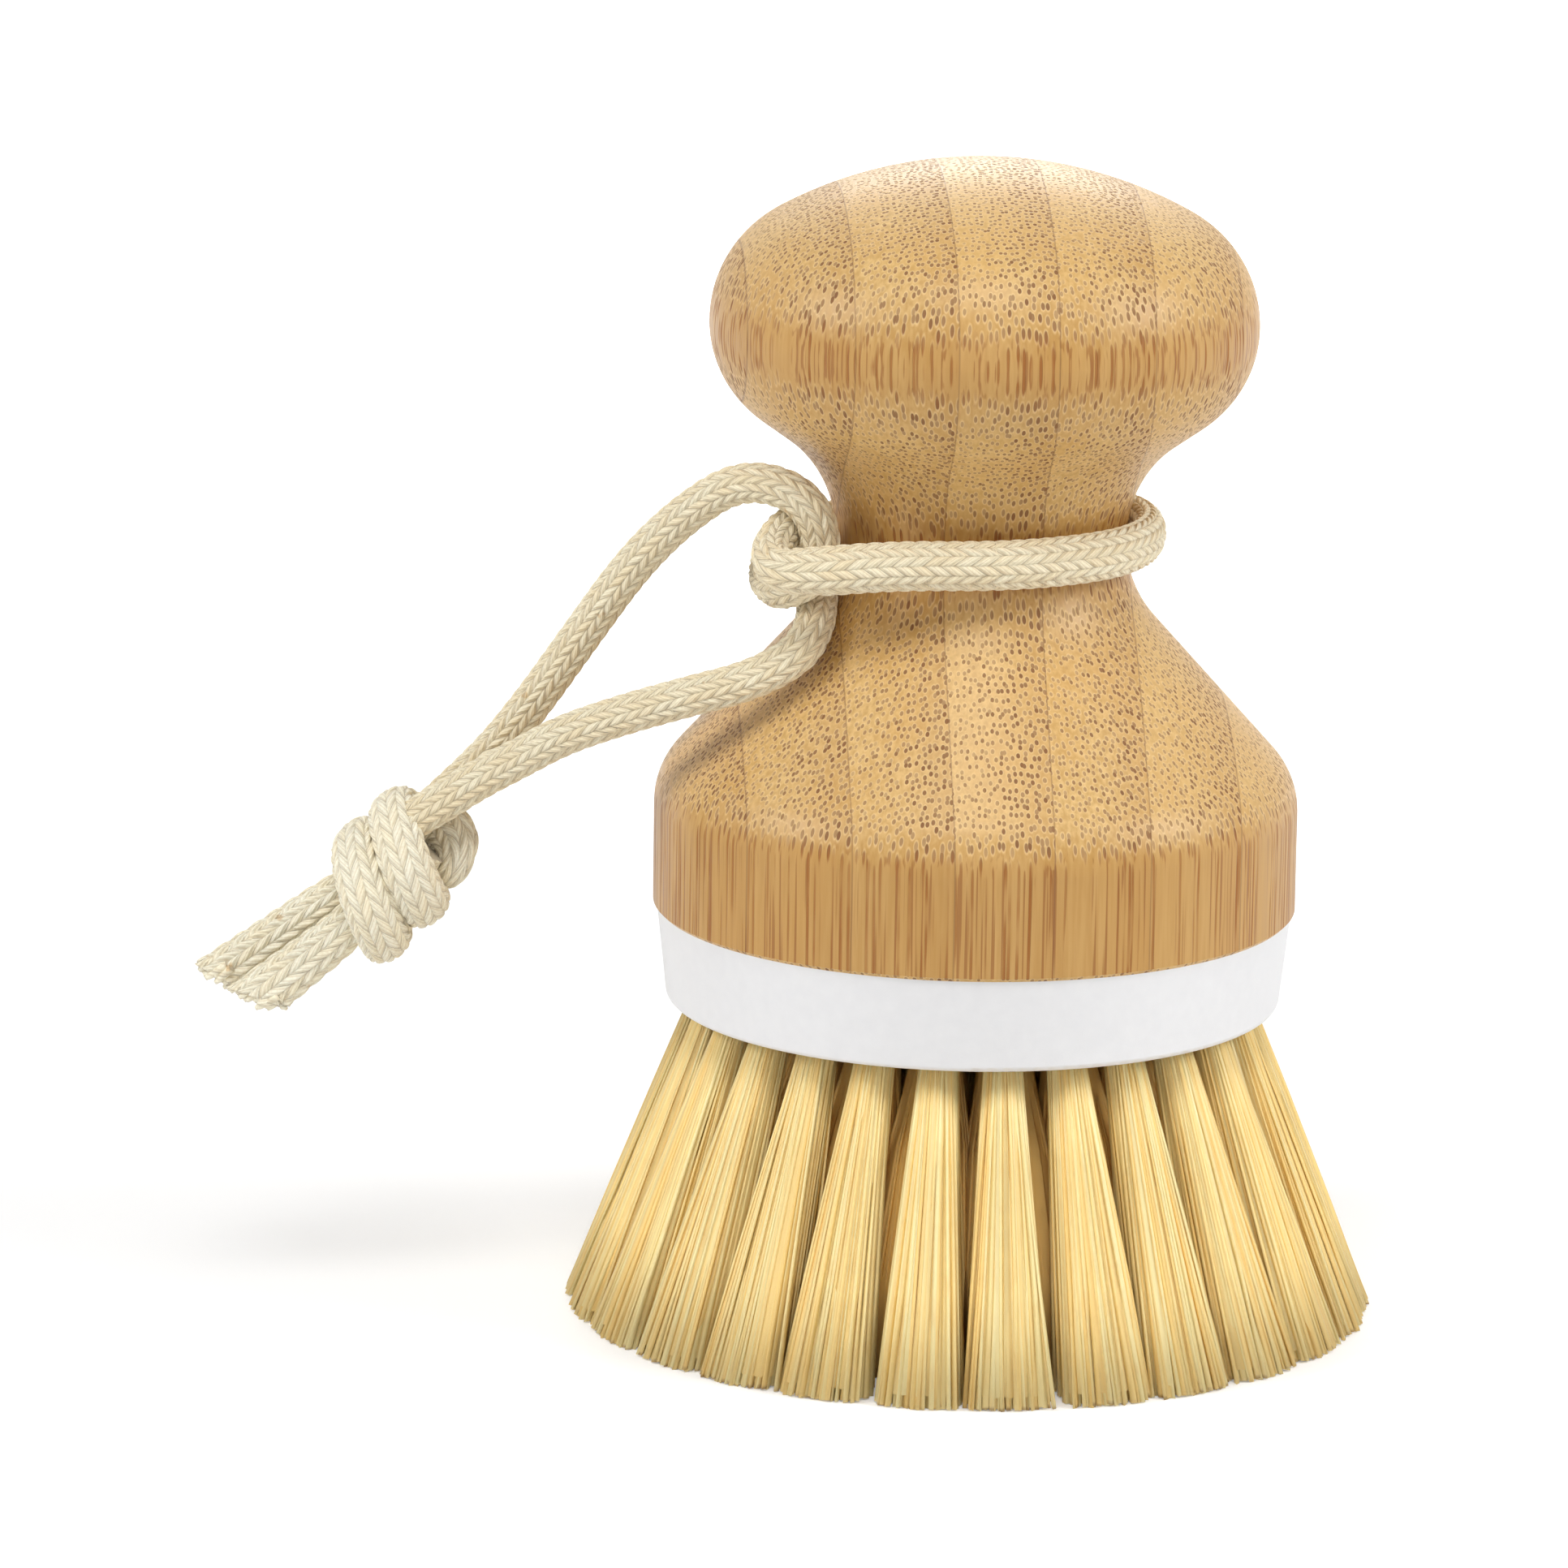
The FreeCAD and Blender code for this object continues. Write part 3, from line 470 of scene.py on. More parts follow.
def bamboo_material():
    """Laminated cane: upright bundles of vessels, a grain between them and a glue line at each lamina."""
    shader = Shader("bamboo")
    places = bamboo_places(shader)
    across, depth, z, index, share = places
    upright = shader.math("ABSOLUTE", shader.parted(shader.facing())[2])
    steep = shader.step(upright, *WALL_BAND, 1.0, 0.0)
    pores, rim = bamboo_pores(shader, places, steep)
    grain = shader.noise(shader.stretched(across, depth, z, *GRAIN_RATES), detail=3.0)
    clouds = shader.noise(shader.stretched(across, depth, z, *CLOUD_RATES))
    streaks = shader.noise(shader.stretched(across, depth, z, *STREAK_RATES), detail=1.0)

    tone = shader.mix(shader.step(grain, *GRAIN_BAND), *GRAIN_TONES)
    tone = shader.tint(tone, clouds, **CLOUD_TINT)
    tone = shader.mix(shader.scaled(shader.random(index), LAMINA_STRENGTH), tone, LAMINA_TONE)
    tone = shader.tint(tone, share, **LAMINA_SIDE_TINT)
    # Painted shade: darker towards upright walls.
    tone = shader.tint(tone, upright, **PAINTED_WALL_SHADE_TINT)
    tone = shader.tint(tone, streaks, where=steep, **STREAK_TINT)
    # Painted highlight round the pores.
    tone = shader.mix(rim, tone, PAINTED_HIGHLIGHT_TONE)
    tone = shader.mix(shader.scaled(pores, PORE_STRENGTH), tone, shader.mix(steep, *PORE_TONES))
    edge = shader.math("MINIMUM", share, shader.math("SUBTRACT", 1.0, share))
    shader.colour(shader.tint(tone, edge, **GLUE_TINT))

    roughness = shader.step(grain, *NOISE_BAND, *GRAIN_ROUGHNESSES)
    shader.rough(shader.math("ADD", roughness, shader.scaled(pores, PORE_ROUGHNESS)))
    shader.relief(shader.math("SUBTRACT", shader.scaled(grain, GRAIN_DEPTH_SHARE), pores), PORE_DEPTH)
    return shader.material


def plastic_material():
    """White moulded plastic with a faint mottle and a fine grain."""
    shader = Shader("head_plastic")
    mottle = shader.noise(shader.place(), PLASTIC_MOTTLE_RATE, detail=3.0)
    shader.colour(shader.mix(mottle, *PLASTIC_TONES))
    shader.rough(shader.step(mottle, *NOISE_BAND, *PLASTIC_ROUGHNESSES))
    shader.relief(shader.noise(shader.place(), PLASTIC_GRAIN_RATE, detail=1.0), PLASTIC_GRAIN_DEPTH)
    return shader.material


def fibre_material():
    """Stiff plant fibre: each fibre has its own tone, with streaks along it and now and then a dark tip."""
    shader = Shader("plant_fibre")
    tone = shader.attribute("tone")
    along = shader.attribute("along")
    inner = shader.attribute("inner")
    fibre_place = shader.scaled(tone, FIBRE_STREAK_SPREAD)
    streak_place = shader.joined(fibre_place, shader.scaled(along, FIBRE_STREAK_RATE), 0.0)
    streak = shader.noise(streak_place, detail=3.0)
    colour = shader.mix(tone, *FIBRE_TONES)
    # Painted shade: the inner rows take the darker, warmer tone.
    colour = shader.mix(shader.scaled(inner, FIBRE_INNER_SHADE_STRENGTH), colour, FIBRE_INNER_SHADE_TONE)
    colour = shader.tint(colour, streak, **FIBRE_STREAK_TINT)
    at_tip = shader.step(along, FIBRE_TIP_START, 1.0, 0.0, FIBRE_TIP_STRENGTH)
    shader.colour(shader.tint(colour, streak, where=at_tip, **FIBRE_TIP_TINT))
    shader.rough(shader.step(streak, *FIBRE_ROUGHNESS_BAND, *FIBRE_ROUGHNESSES))
    shader.relief(streak, FIBRE_STREAK_DEPTH)
    return shader.material


def wire_material():
    """Drawn steel wire."""
    shader = Shader("anchor_wire", Roughness=0.3, Metallic=1.0)
    drawn = shader.noise(shader.place(), WIRE_RATE)
    shader.colour(shader.mix(drawn, *WIRE_TONES))
    shader.relief(drawn, WIRE_DEPTH)
    return shader.material


def cotton_colour(shader, fluff, crown, tone, plies, yarns, crease):
    """Undyed cotton: pale on the crowns of the yarns, with painted brown shade in the creases and a few
    flecks of husk.
    """
    flecks = shader.noise(shader.place(), FLECK_RATE)
    colour = shader.mix(tone, *yarns)
    colour = shader.tint(colour, fluff, **FLUFF_TINT)
    colour = shader.tint(colour, flecks, **FLECK_TINT)
    # Painted shade in the grooves between the plies.
    colour = shader.tint(colour, plies, **PLY_GROOVE_SHADE_TINT)
    # Painted shade: brown in the creases, as strong as crease says.
    shader.colour(shader.tint(colour, crown, CREASE_SHADE_BAND, (crease, 0.0), PAINTED_CREASE_SHADE))


def braid_material(name, yarns, crease):
    """The cord's braid: columns of yarns that slant by turns to either side."""
    shader = Shader(name, Sheen_Weight=0.25, Sheen_Roughness=0.6)
    column, period, _ = shader.weave()
    x = shader.math("FRACT", column)
    number = shader.math("FLOOR", column)
    odd = shader.math("FLOORED_MODULO", number, 2.0)
    side = shader.math("SUBTRACT", shader.scaled(odd, 2.0), 1.0)
    slant = shader.scaled(shader.math("MULTIPLY", side, x), BRAID_TILT)
    place = shader.math("ADD", period, slant)
    yarn = shader.math("FRACT", place)
    tone = shader.random(shader.math("ADD", shader.math("FLOOR", place), shader.scaled(number, COLUMN_SHIFT)))
    round_yarn = shader.math("POWER", shader.math("SINE", shader.scaled(yarn, math.pi)), YARN_ROUNDNESS)
    off_middle = shader.math("ABSOLUTE", shader.math("SUBTRACT", shader.scaled(x, 2.0), 1.0))
    dip = shader.scaled(shader.math("POWER", off_middle, float(CREASE_POWER)), CREASE_DEPTH)
    crown = shader.math("MULTIPLY", round_yarn, shader.math("SUBTRACT", 1.0, dip))
    ply_turn = shader.scaled(yarn, PLY_COUNT * 2 * math.pi)
    plies = shader.math("SINE", shader.math("ADD", ply_turn, shader.scaled(x, PLY_LEAN)))
    fluff = shader.noise(shader.place(), FLUFF_RATE, detail=3.0)
    cotton_colour(shader, fluff, crown, tone, plies, yarns, crease)
    shader.rough(shader.step(fluff, *NOISE_BAND, *COTTON_ROUGHNESSES))
    fuzz = shader.math("ADD", shader.scaled(plies, PLY_DEPTH_SHARE), shader.scaled(fluff, FLUFF_DEPTH_SHARE))
    shader.relief(shader.math("ADD", crown, fuzz), YARN_DEPTH)
    return shader.material


def spline_line(points):
    """Points along a smooth curve that has the given points, in metres, as its control points."""
    data = bpy.data.curves.new("line", "CURVE")
    data.dimensions = "3D"
    data.resolution_u = 32
    spline = data.splines.new("NURBS")
    spline.points.add(len(points) - 1)
    for control, point in zip(spline.points, points):
        control.co = (*(float(value) for value in point), 1.0)
    spline.order_u = 3
    spline.use_endpoint_u = True
    curve = bpy.data.objects.new("line", data)
    mesh = bpy.data.meshes.new_from_object(curve)
    line = np.array([vertex.co for vertex in mesh.vertices])
    bpy.data.objects.remove(curve)
    bpy.data.curves.remove(data)
    bpy.data.meshes.remove(mesh)
    return line


def lengths_along(line):
    return np.concatenate([[0.0], np.cumsum(np.linalg.norm(np.diff(line, axis=0), axis=1))])


def evenly(line, step):
    """The line's points at equal steps, and their places along it."""
    along = lengths_along(line)
    places = np.linspace(0.0, along[-1], max(int(round(along[-1] / step)), 2) + 1)
    return np.stack([np.interp(places, along, line[:, axis]) for axis in range(3)], axis=1), places


def unit(vectors):
    return vectors / np.linalg.norm(vectors, axis=-1, keepdims=True)


def frames_along(line, first):
    """At each point the way along the line and two directions across it, carried along without twist."""
    ways = unit(np.gradient(line, axis=0))
    aside = np.empty_like(line)
    carried = np.asarray(first, float)
    for place, way in enumerate(ways):
        carried = unit(carried - way * (carried @ way))
        aside[place] = carried
    return ways, aside, np.cross(ways, aside)


def smooth_share(value, low, high):
    share = np.clip((value - low) / (high - low), 0.0, 1.0)
    return share * share * (3.0 - 2.0 * share)


def tube_faces(tubes, rings, sides):
    """Quads of equal tubes, and a cap at each end."""
    corner = np.arange(tubes * rings * sides).reshape(tubes, rings, sides)
    low, high = corner[:, :-1], corner[:, 1:]
    quads = np.stack([low, np.roll(low, -1, axis=2), np.roll(high, -1, axis=2), high], axis=-1)
    caps = np.concatenate([corner[:, 0, ::-1], corner[:, -1]])
    return quads.reshape(-1, 4).tolist() + caps.tolist()


def tube_weave(tubes, places, rings, sides, columns):
    """Each face corner's column and period, for the quads and caps of tube_faces."""
    column = np.arange(sides) * columns / sides
    after = column + columns / sides
    along = np.broadcast_to(places, (tubes, rings))
    shape = (tubes, rings - 1, sides)
    corners = [(column, along[:, :-1]), (after, along[:, :-1]), (after, along[:, 1:]), (column, along[:, 1:])]
    quads = [np.stack([np.broadcast_to(u, shape), np.broadcast_to(v[:, :, None], shape)], axis=-1)
             for u, v in corners]
    caps = np.zeros((2 * tubes * sides, 2))
    return np.concatenate([np.stack(quads, axis=-2).reshape(-1, 2), caps])


def piece(name, batches, material, body=None):
    """One object of several batches of tubes.

    A batch has points by tube, ring, side and axis, values for its points, and the weave of its face corners.
    """
    vertices, faces, weave = [], [], []
    values = {key: [] for key in batches[0]["values"]}
    count = 0
    for batch in batches:
        points = batch["points"]
        vertices.append(points.reshape(-1, 3))
        faces += [[count + corner for corner in face] for face in tube_faces(*points.shape[:3])]
        count += points[..., 0].size
        weave.append(batch["weave"])
        for key, value in batch["values"].items():
            values[key].append(np.broadcast_to(value, points.shape[:3]).ravel())
    mesh = bpy.data.meshes.new(name)
    mesh.from_pydata(np.concatenate(vertices).tolist(), [], faces)
    mesh.polygons.foreach_set("use_smooth", np.ones(len(mesh.polygons), bool))
    for key, parts in values.items():
        attribute = mesh.attributes.new(key, "FLOAT", "POINT")
        attribute.data.foreach_set("value", np.concatenate(parts).astype(np.float32))
    if weave[0] is not None:
        layer = mesh.uv_layers.new(name="weave")
        layer.data.foreach_set("uv", np.concatenate(weave).astype(np.float32).ravel())
    mesh.materials.append(material)
    thing = bpy.data.objects.new(name, mesh)
    bpy.context.scene.collection.objects.link(thing)
    if body:
        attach(thing, body)
    return thing


def away_from(line, centre, axis):
    """From an axis through the centre out to each of the line's points."""
    out = line - centre
    return out - (out @ axis)[:, None] * axis


def braid(line, places, diameter, first, period=BRAID_PERIOD, relief=BRAID_RELIEF):
    """The skin of a braided cord round each point of a line: out at the yarns' crowns, in at the creases."""
    ways, aside, other = frames_along(line, first)
    turn = np.arange(BRAID_SIDES) * 2 * math.pi / BRAID_SIDES
    columns = np.arange(BRAID_SIDES) * BRAID_COLUMNS / BRAID_SIDES
    x = columns % 1
    sign = 2 * (np.floor(columns) % 2) - 1
    yarn = (places[:, None] / period + sign * x * BRAID_TILT) % 1
    crease = CREASE_DEPTH * np.abs(2 * x - 1) ** CREASE_POWER
    crown = np.sin(math.pi * yarn) ** YARN_ROUNDNESS * (1 - crease)
    radius = diameter / 2 - relief * (1 - crown)
    ring = np.cos(turn)[:, None] * aside[:, None] + np.sin(turn)[:, None] * other[:, None]
    return ways, radius[..., None] * ring


def flattened(skin, ways, outward, depth_shares, width_shares):
    """The skin pressed flat: thinner in the outward direction and wider across it."""
    outward = unit(outward - ways * np.sum(outward * ways, axis=1, keepdims=True))
    widthward = np.cross(ways, outward)
    for direction, shares in ((outward, depth_shares), (widthward, width_shares)):
        reach = np.sum(skin * direction[:, None], axis=2, keepdims=True)
        skin = skin + (np.broadcast_to(shares, len(skin)) - 1)[:, None, None] * reach * direction[:, None]
    return skin


def braid_batch(line, places, skin, period=BRAID_PERIOD):
    weave = tube_weave(1, places / period, len(line), BRAID_SIDES, BRAID_COLUMNS)
    return {"points": (line[:, None] + skin)[None], "values": {}, "weave": weave}


def loop_batch(line, places):
    """The looped cord: round in its strands, and pressed flat against the neck."""
    ways, skin = braid(line, places, CORD_DIAMETER, KNOT_BACK)
    share = (smooth_share(places, LOOP_START - LOOP_EASE, LOOP_START)
             * (1 - smooth_share(places, LOOP_END, LOOP_END + LOOP_EASE)))
    outward = away_from(line, np.zeros(3), np.array((0.0, 0.0, 1.0)))
    depth_shares = 1 + share * (LOOP_DEPTH_SHARE - 1)
    height_shares = 1 + share * (LOOP_HEIGHT_SHARE - 1)
    return braid_batch(line, places, flattened(skin, ways, outward, depth_shares, height_shares))


def knot_line(route):
    """Even points along a route that is given in the knot's frame, and their places along it."""
    return evenly(spline_line(KNOT_CENTRE + np.array(route) @ KNOT_FRAME * MM), BRAID_STEP)


def knot_batches():
    """The knot: flat wraps of the cord, pulled tight round a core."""
    line, places = knot_line(KNOT_ROUTE)
    ways, skin = braid(line, places, KNOT_DIAMETER, KNOT_ALONG)
    outward = away_from(line, KNOT_CENTRE, KNOT_ALONG)
    skin = flattened(skin, ways, outward, KNOT_DEPTH_SHARE, KNOT_WIDTH_SHARE)
    core, core_places = knot_line(KNOT_CORE_ROUTE)
    _, core_skin = braid(core, core_places, KNOT_CORE_DIAMETER, KNOT_BACK)
    return [braid_batch(line, places, skin), braid_batch(core, core_places, core_skin)]


def stub_batch(rim, middle, way):
    """The loose tip of one yarn, from inside the cord to just past the cut."""
    inner = middle + random.uniform(*STUB_PLACES) * (rim - middle)
    lean = unit(way + random.normal(0, STUB_LEAN, 3))
    length = random.uniform(*STUB_LENGTHS)
    rings = len(STUB_TAPER)
    line = inner + np.linspace(-STUB_ROOT, length, rings)[:, None] * lean
    _, aside, other = frames_along(line, KNOT_BACK)
    turn = np.arange(STUB_SIDES) * 2 * math.pi / STUB_SIDES
    ring = np.cos(turn)[:, None] * aside[:, None] + np.sin(turn)[:, None] * other[:, None]
    taper = STUB_RADIUS * np.array(STUB_TAPER)
    weave = tube_weave(1, np.linspace(0, STUB_WEAVE, rings), rings, STUB_SIDES, 1)
    return {"points": (line[:, None] + taper[:, None, None] * ring)[None], "values": {}, "weave": weave}


def end_batches(node):
    """A loosened end: a flattened, slack braid to a slanted cut, with the yarns frayed there."""
    line, places = knot_line(END_ROUTES[node])
    share = places / places[-1]
    ways, skin = braid(line, places, CORD_DIAMETER, KNOT_BACK, END_PERIOD, END_RELIEF)
    depth_shares = END_DEPTH_SHARES[0] + (END_DEPTH_SHARES[1] - END_DEPTH_SHARES[0]) * share
    width_shares = END_WIDTH_SHARES[0] + (END_WIDTH_SHARES[1] - END_WIDTH_SHARES[0]) * share
    skin = flattened(skin, ways, np.broadcast_to(KNOT_BACK, line.shape), depth_shares, width_shares)
    near_cut = smooth_share(places, places[-1] - FRAY_LENGTH, places[-1])
    column = (np.arange(BRAID_SIDES) * BRAID_COLUMNS / BRAID_SIDES).astype(int)
    fray = random.uniform(0, FRAY_DEPTH, BRAID_COLUMNS)[column]
    slant = END_SLANTS[node] * (skin @ KNOT_ACROSS)
    skin = skin - ways[:, None] * (near_cut[:, None] * (slant + fray))[..., None]
    rim = line[-1] + skin[-1]
    corners = np.linspace(0, BRAID_SIDES, STUB_COUNT, endpoint=False).astype(int)
    stubs = [stub_batch(rim[corner], line[-1], ways[-1]) for corner in corners]
    return [braid_batch(line, places, skin, END_PERIOD), *stubs]


def squared_off(turn):
    """How much further out a tuft's tip reaches in a direction than a round one's."""
    return 1 + TIP_SQUARENESS * (1 / np.maximum(np.abs(np.cos(turn)), np.abs(np.sin(turn))) - 1)


def tuft_frame(row, index):
    """A tuft's distance from the axis at its root, and its directions outward and aside."""
    root_row = OUTER_ROW_RADIUS * (1 - row / (len(TUFT_COUNTS) - 1))
    angle = -math.pi / 2 + 2 * math.pi * (index + 0.5) / TUFT_COUNTS[row]
    outward = np.array((math.cos(angle), math.sin(angle)))
    sideward = np.array((-math.sin(angle), math.cos(angle)))
    return root_row, outward, sideward


def arch(share):
    """1 halfway along a tuft, and nothing at its root and its tips."""
    return max(4 * share * (1 - share), 0.0)


def tuft_girth(row, share):
    """The part of a tuft's radius that its root and its swell give, at a share of the way to the tips."""
    return ROOT_RADIUS * (1 - share) + ROW_SWELLS[row] * math.sqrt(arch(share))


def tuft_centre(row, index, share):
    """How far a tuft's middle is from the axis, at a share of the way to the tips."""
    return tuft_frame(row, index)[0] * (1 + (FLARE_SHARE - 1) * share)


def tuft_core(row, index, lean):
    """The close-packed inside of a tuft, fluted by its fibres."""
    _, outward, sideward = tuft_frame(row, index)
    turn = np.arange(CORE_SIDES) * 2 * math.pi / CORE_SIDES
    flute = CORE_SHARE * (1 + CORE_FLUTE * (-1) ** np.arange(CORE_SIDES))
    flute = flute * random.uniform(*CORE_SIZES, CORE_SIDES)
    tip_out = np.cos(turn) * squared_off(turn) * TIP_REACHES_OUT[row]
    tip_side = np.sin(turn) * squared_off(turn) * TIP_REACHES_ASIDE[row] * (1 + tip_out / OUTER_ROW_RADIUS)
    rings = []
    for share in CORE_SHARES:
        girth = tuft_girth(row, share)
        out = tuft_centre(row, index, share) + flute * (np.cos(turn) * girth + tip_out * share)
        side = flute * (np.sin(turn) * girth + tip_side * share) + lean * share
        flat = out[:, None] * outward + side[:, None] * sideward
        level = np.full((CORE_SIDES, 1), HEAD_BOTTOM * (1 - share))
        rings.append(np.concatenate([flat, level], axis=1))
    tone = np.broadcast_to(random.uniform(0, 1, CORE_SIDES), (1, len(rings), CORE_SIDES))
    along = np.clip(CORE_SHARES, 0.0, CORE_LAST_ALONG)[None, :, None]
    # inner marks the inner rows, which the material paints in a shaded tone.
    values = {"tone": tone, "along": along, "inner": float(row > 0)}
    return {"points": np.stack(rings)[None], "values": values, "weave": None}


def tuft(row, index, lean):
    """The fibres of one tuft: a round bundle at the head that opens towards the trimmed tips."""
    count = FIBRE_COUNTS[row]
    number = np.arange(count)
    spread = ((number + 0.5) / count) ** SHELL_POWER
    turn = number * GOLDEN_ANGLE + random.uniform(0, 2 * math.pi)
    out, side = spread * np.cos(turn), spread * np.sin(turn)
    squared = squared_off(turn)
    _, outward, sideward = tuft_frame(row, index)
    stray = random.uniform(size=count) > STRAY_ABOVE
    tip_out = out * squared * TIP_REACHES_OUT[row] * (1 + STRAY_REACH_OUT * stray)
    tip_out = tip_out + random.normal(0, TIP_SCATTER_OUT, count)
    tip_side = side * squared * TIP_REACHES_ASIDE[row] * (1 + STRAY_REACH * stray)
    tip_side = tip_side + random.normal(0, TIP_SCATTER_ASIDE, count)
    tip_side = tip_side * (1 + tip_out / OUTER_ROW_RADIUS)
    tip_height = random.uniform(*TRIM_HEIGHTS_IN_MM, count) * MM
    bow = random.normal(0, FIBRE_BOW, (count, 2))
    rings = []
    for share in FIBRE_SHARES:
        girth = tuft_girth(row, share)
        along_out = tuft_centre(row, index, share) + out * girth + tip_out * share
        along_side = side * girth + (tip_side + lean) * share
        flat = along_out[:, None] * outward + along_side[:, None] * sideward + bow * arch(share)
        level = HEAD_BOTTOM * (1 - share) + tip_height * max(share, 0.0)
        rings.append(np.concatenate([flat, level[:, None]], axis=1))
    centres = np.stack(rings, axis=1)
    first_corner = random.uniform(0, 2 * math.pi, count)[:, None]
    around = np.arange(FIBRE_SIDES) * 2 * math.pi / FIBRE_SIDES + first_corner
    ring = np.stack([np.cos(around), np.sin(around), np.zeros_like(around)], axis=-1)
    shares = np.clip(FIBRE_SHARES, 0.0, 1.0)
    size = FIBRE_RADII[0] + (FIBRE_RADII[1] - FIBRE_RADII[0]) * shares
    size = size * random.uniform(*FIBRE_SIZES, count)[:, None]
    points = centres[:, :, None] + size[:, :, None, None] * ring[:, None]
    tone = random.uniform(0, 1, count)[:, None, None]
    # inner marks the inner rows, which the material paints in a shaded tone.
    values = {"tone": tone, "along": shares[None, :, None], "inner": float(row > 0)}
    return {"points": points, "values": values, "weave": None}


def dress_frame():
    """Finishes for the solids that stay in sight."""
    bamboo, plastic, wire = bamboo_material(), plastic_material(), wire_material()
    for name, node in frame["nodes"].items():
        if name == "bristle_head":
            finish = plastic
        elif name.startswith("tuft_anchors"):
            finish = wire
        elif name.startswith(("bamboo", "base", "knob")):
            finish = bamboo
        else:
            continue
        node.data.materials.clear()
        node.data.materials.append(finish)


def tufts():
    """All the tufts: the outer ones one by one, and each inner row as one piece."""
    material = fibre_material()
    for row, count in enumerate(TUFT_COUNTS):
        leans = random.normal(0, TIP_LEAN, count)
        bundles = [[tuft(row, index, lean), tuft_core(row, index, lean)] for index, lean in enumerate(leans)]
        if row == 0:
            groups = [(f"tuft_{index + 1:02d}", bundle) for index, bundle in enumerate(bundles)]
        else:
            groups = [(f"tufts_row_{row + 1}", sum(bundles, []))]
        for node, batches in groups:
            fibres = piece(f"{node}_fibres", batches, material, "handle")
            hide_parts(node)


def cord():
    """The looped cord with its knot and loosened ends."""
    # The last argument is the strength of the painted shade in the creases.
    woven = braid_material("cotton_braid", WOVEN_YARNS, WOVEN_CREASE_SHADE)
    # Painted light: the knot and ends take the paler copy of the cotton.
    loosened = braid_material("braid_painted_lighter", KNOT_PAINTED_LIGHT_YARNS, KNOT_CREASE_SHADE)
    line, places = evenly(spline_line(np.array(CORD_ROUTE) * MM), BRAID_STEP)
    cord_piece = piece("hanging_cord", [loop_batch(line, places)], woven)
    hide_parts("cord_upper_strand", "cord_neck_hitch", "cord_lower_strand")
    knot = piece("knot", knot_batches(), loosened, "tail")
    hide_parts("cord_knot")
    for node in END_ROUTES:
        end = piece(f"{node}_yarns", end_batches(node), loosened, "tail")
        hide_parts(node)
    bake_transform(cord_piece)


def floor():
    """A white floor that keeps a soft shadow and reads as white round it."""
    corners = [(x * FLOOR_REACH, y * FLOOR_REACH, 0.0) for x, y in ((-1, -1), (1, -1), (1, 1), (-1, 1))]
    mesh = bpy.data.meshes.new("floor")
    mesh.from_pydata(corners, [], [(0, 1, 2, 3)])
    shader = Shader("floor", Roughness=0.9)
    shader.colour(FLOOR_TONE)
    paths = shader.node("ShaderNodeLightPath").outputs
    mirrored = shader.math("MAXIMUM", paths["Is Glossy Ray"], paths["Is Transmission Ray"])
    seen = shader.math("MAXIMUM", paths["Is Camera Ray"], mirrored)
    x, y, _ = shader.parted(shader.place())
    squares = shader.math("MULTIPLY", x, x), shader.math("MULTIPLY", y, y)
    away = shader.math("SQRT", shader.math("ADD", *squares))
    glow = shader.step(away, *FLOOR_GLOW_REACH, FLOOR_GLOW, 1.0)
    shader.feed(shader.surface.inputs["Emission Color"], WHITE)
    shader.feed(shader.surface.inputs["Emission Strength"], shader.math("MULTIPLY", seen, glow))
    mesh.materials.append(shader.material)
    thing = bpy.data.objects.new("floor", mesh)
    bpy.context.scene.collection.objects.link(thing)


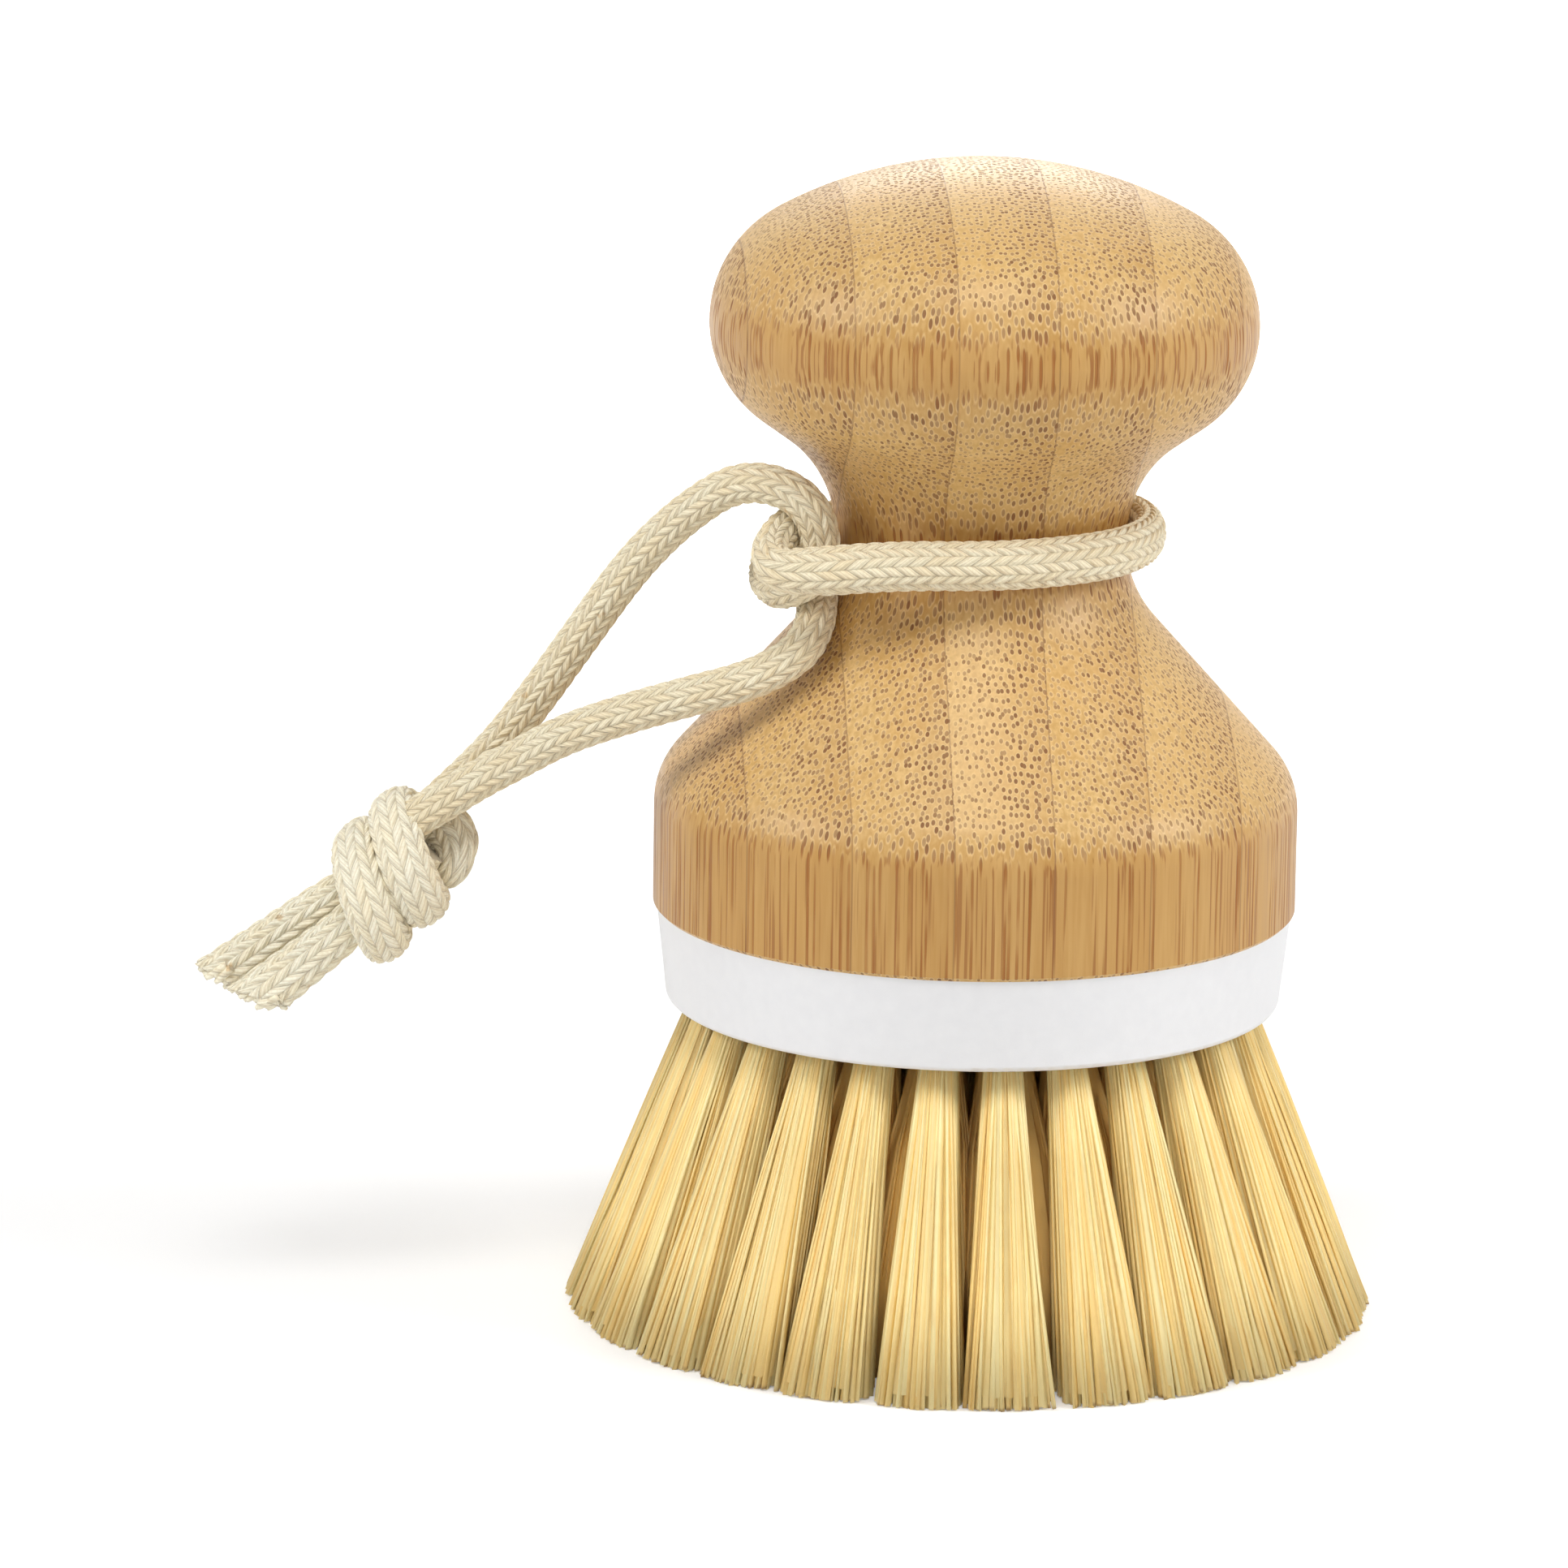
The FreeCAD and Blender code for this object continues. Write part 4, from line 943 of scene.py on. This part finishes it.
def world():
    """Even white light; the background itself shows as plain white."""
    sky = bpy.data.worlds.new("studio")
    sky.use_nodes = True
    nodes, links = sky.node_tree.nodes, sky.node_tree.links
    nodes.clear()
    paths = nodes.new("ShaderNodeLightPath").outputs
    seen = paths["Is Camera Ray"]
    for ray in ("Is Glossy Ray", "Is Transmission Ray"):
        both = nodes.new("ShaderNodeMath")
        both.operation = "MAXIMUM"
        links.new(seen, both.inputs[0])
        links.new(paths[ray], both.inputs[1])
        seen = both.outputs[0]
    strength = nodes.new("ShaderNodeMapRange")
    links.new(seen, strength.inputs["Value"])
    strength.inputs["To Min"].default_value = WORLD_LIGHT
    strength.inputs["To Max"].default_value = 1.0
    light = nodes.new("ShaderNodeBackground")
    links.new(strength.outputs[0], light.inputs["Strength"])
    light.inputs["Color"].default_value = WHITE
    output = nodes.new("ShaderNodeOutputWorld")
    links.new(light.outputs[0], output.inputs["Surface"])
    bpy.context.scene.world = sky


def lamp(name, place, size, power):
    """A round soft lamp that shines at the object."""
    data = bpy.data.lights.new(name, "AREA")
    data.shape = "DISK"
    data.size = size
    data.energy = power
    thing = bpy.data.objects.new(name, data)
    thing.location = place
    thing.rotation_euler = (Vector(LAMP_TARGET) - Vector(place)).to_track_quat("-Z", "Y").to_euler()
    bpy.context.scene.collection.objects.link(thing)


def camera():
    """The photograph's view: from the front, a little above, through a long lens."""
    pitch, yaw, roll = (math.radians(angle) for angle in (CAMERA_PITCH, CAMERA_YAW, CAMERA_ROLL))
    forward = Vector((math.sin(yaw) * math.cos(pitch), math.cos(yaw) * math.cos(pitch), -math.sin(pitch)))
    level = Vector((math.cos(yaw), -math.sin(yaw), 0.0))
    upright = level.cross(forward)
    right = level * math.cos(roll) + upright * math.sin(roll)
    up = upright * math.cos(roll) - level * math.sin(roll)
    data = bpy.data.cameras.new("camera")
    data.lens = CAMERA_LENS
    data.sensor_width = CAMERA_SENSOR
    data.sensor_fit = "HORIZONTAL"
    data.clip_start = CAMERA_NEAR
    thing = bpy.data.objects.new("camera", data)
    turn = Matrix((right, up, -forward)).transposed().to_4x4()
    thing.matrix_world = Matrix.Translation(CAMERA_PLACE) @ turn
    bpy.context.scene.collection.objects.link(thing)
    bpy.context.scene.camera = thing


camera()
cord()
tufts()
dress_frame()
floor()
world()
for lamp_name, settings in LAMPS.items():
    lamp(lamp_name, **settings)
bpy.context.scene.view_settings.view_transform = "Standard"
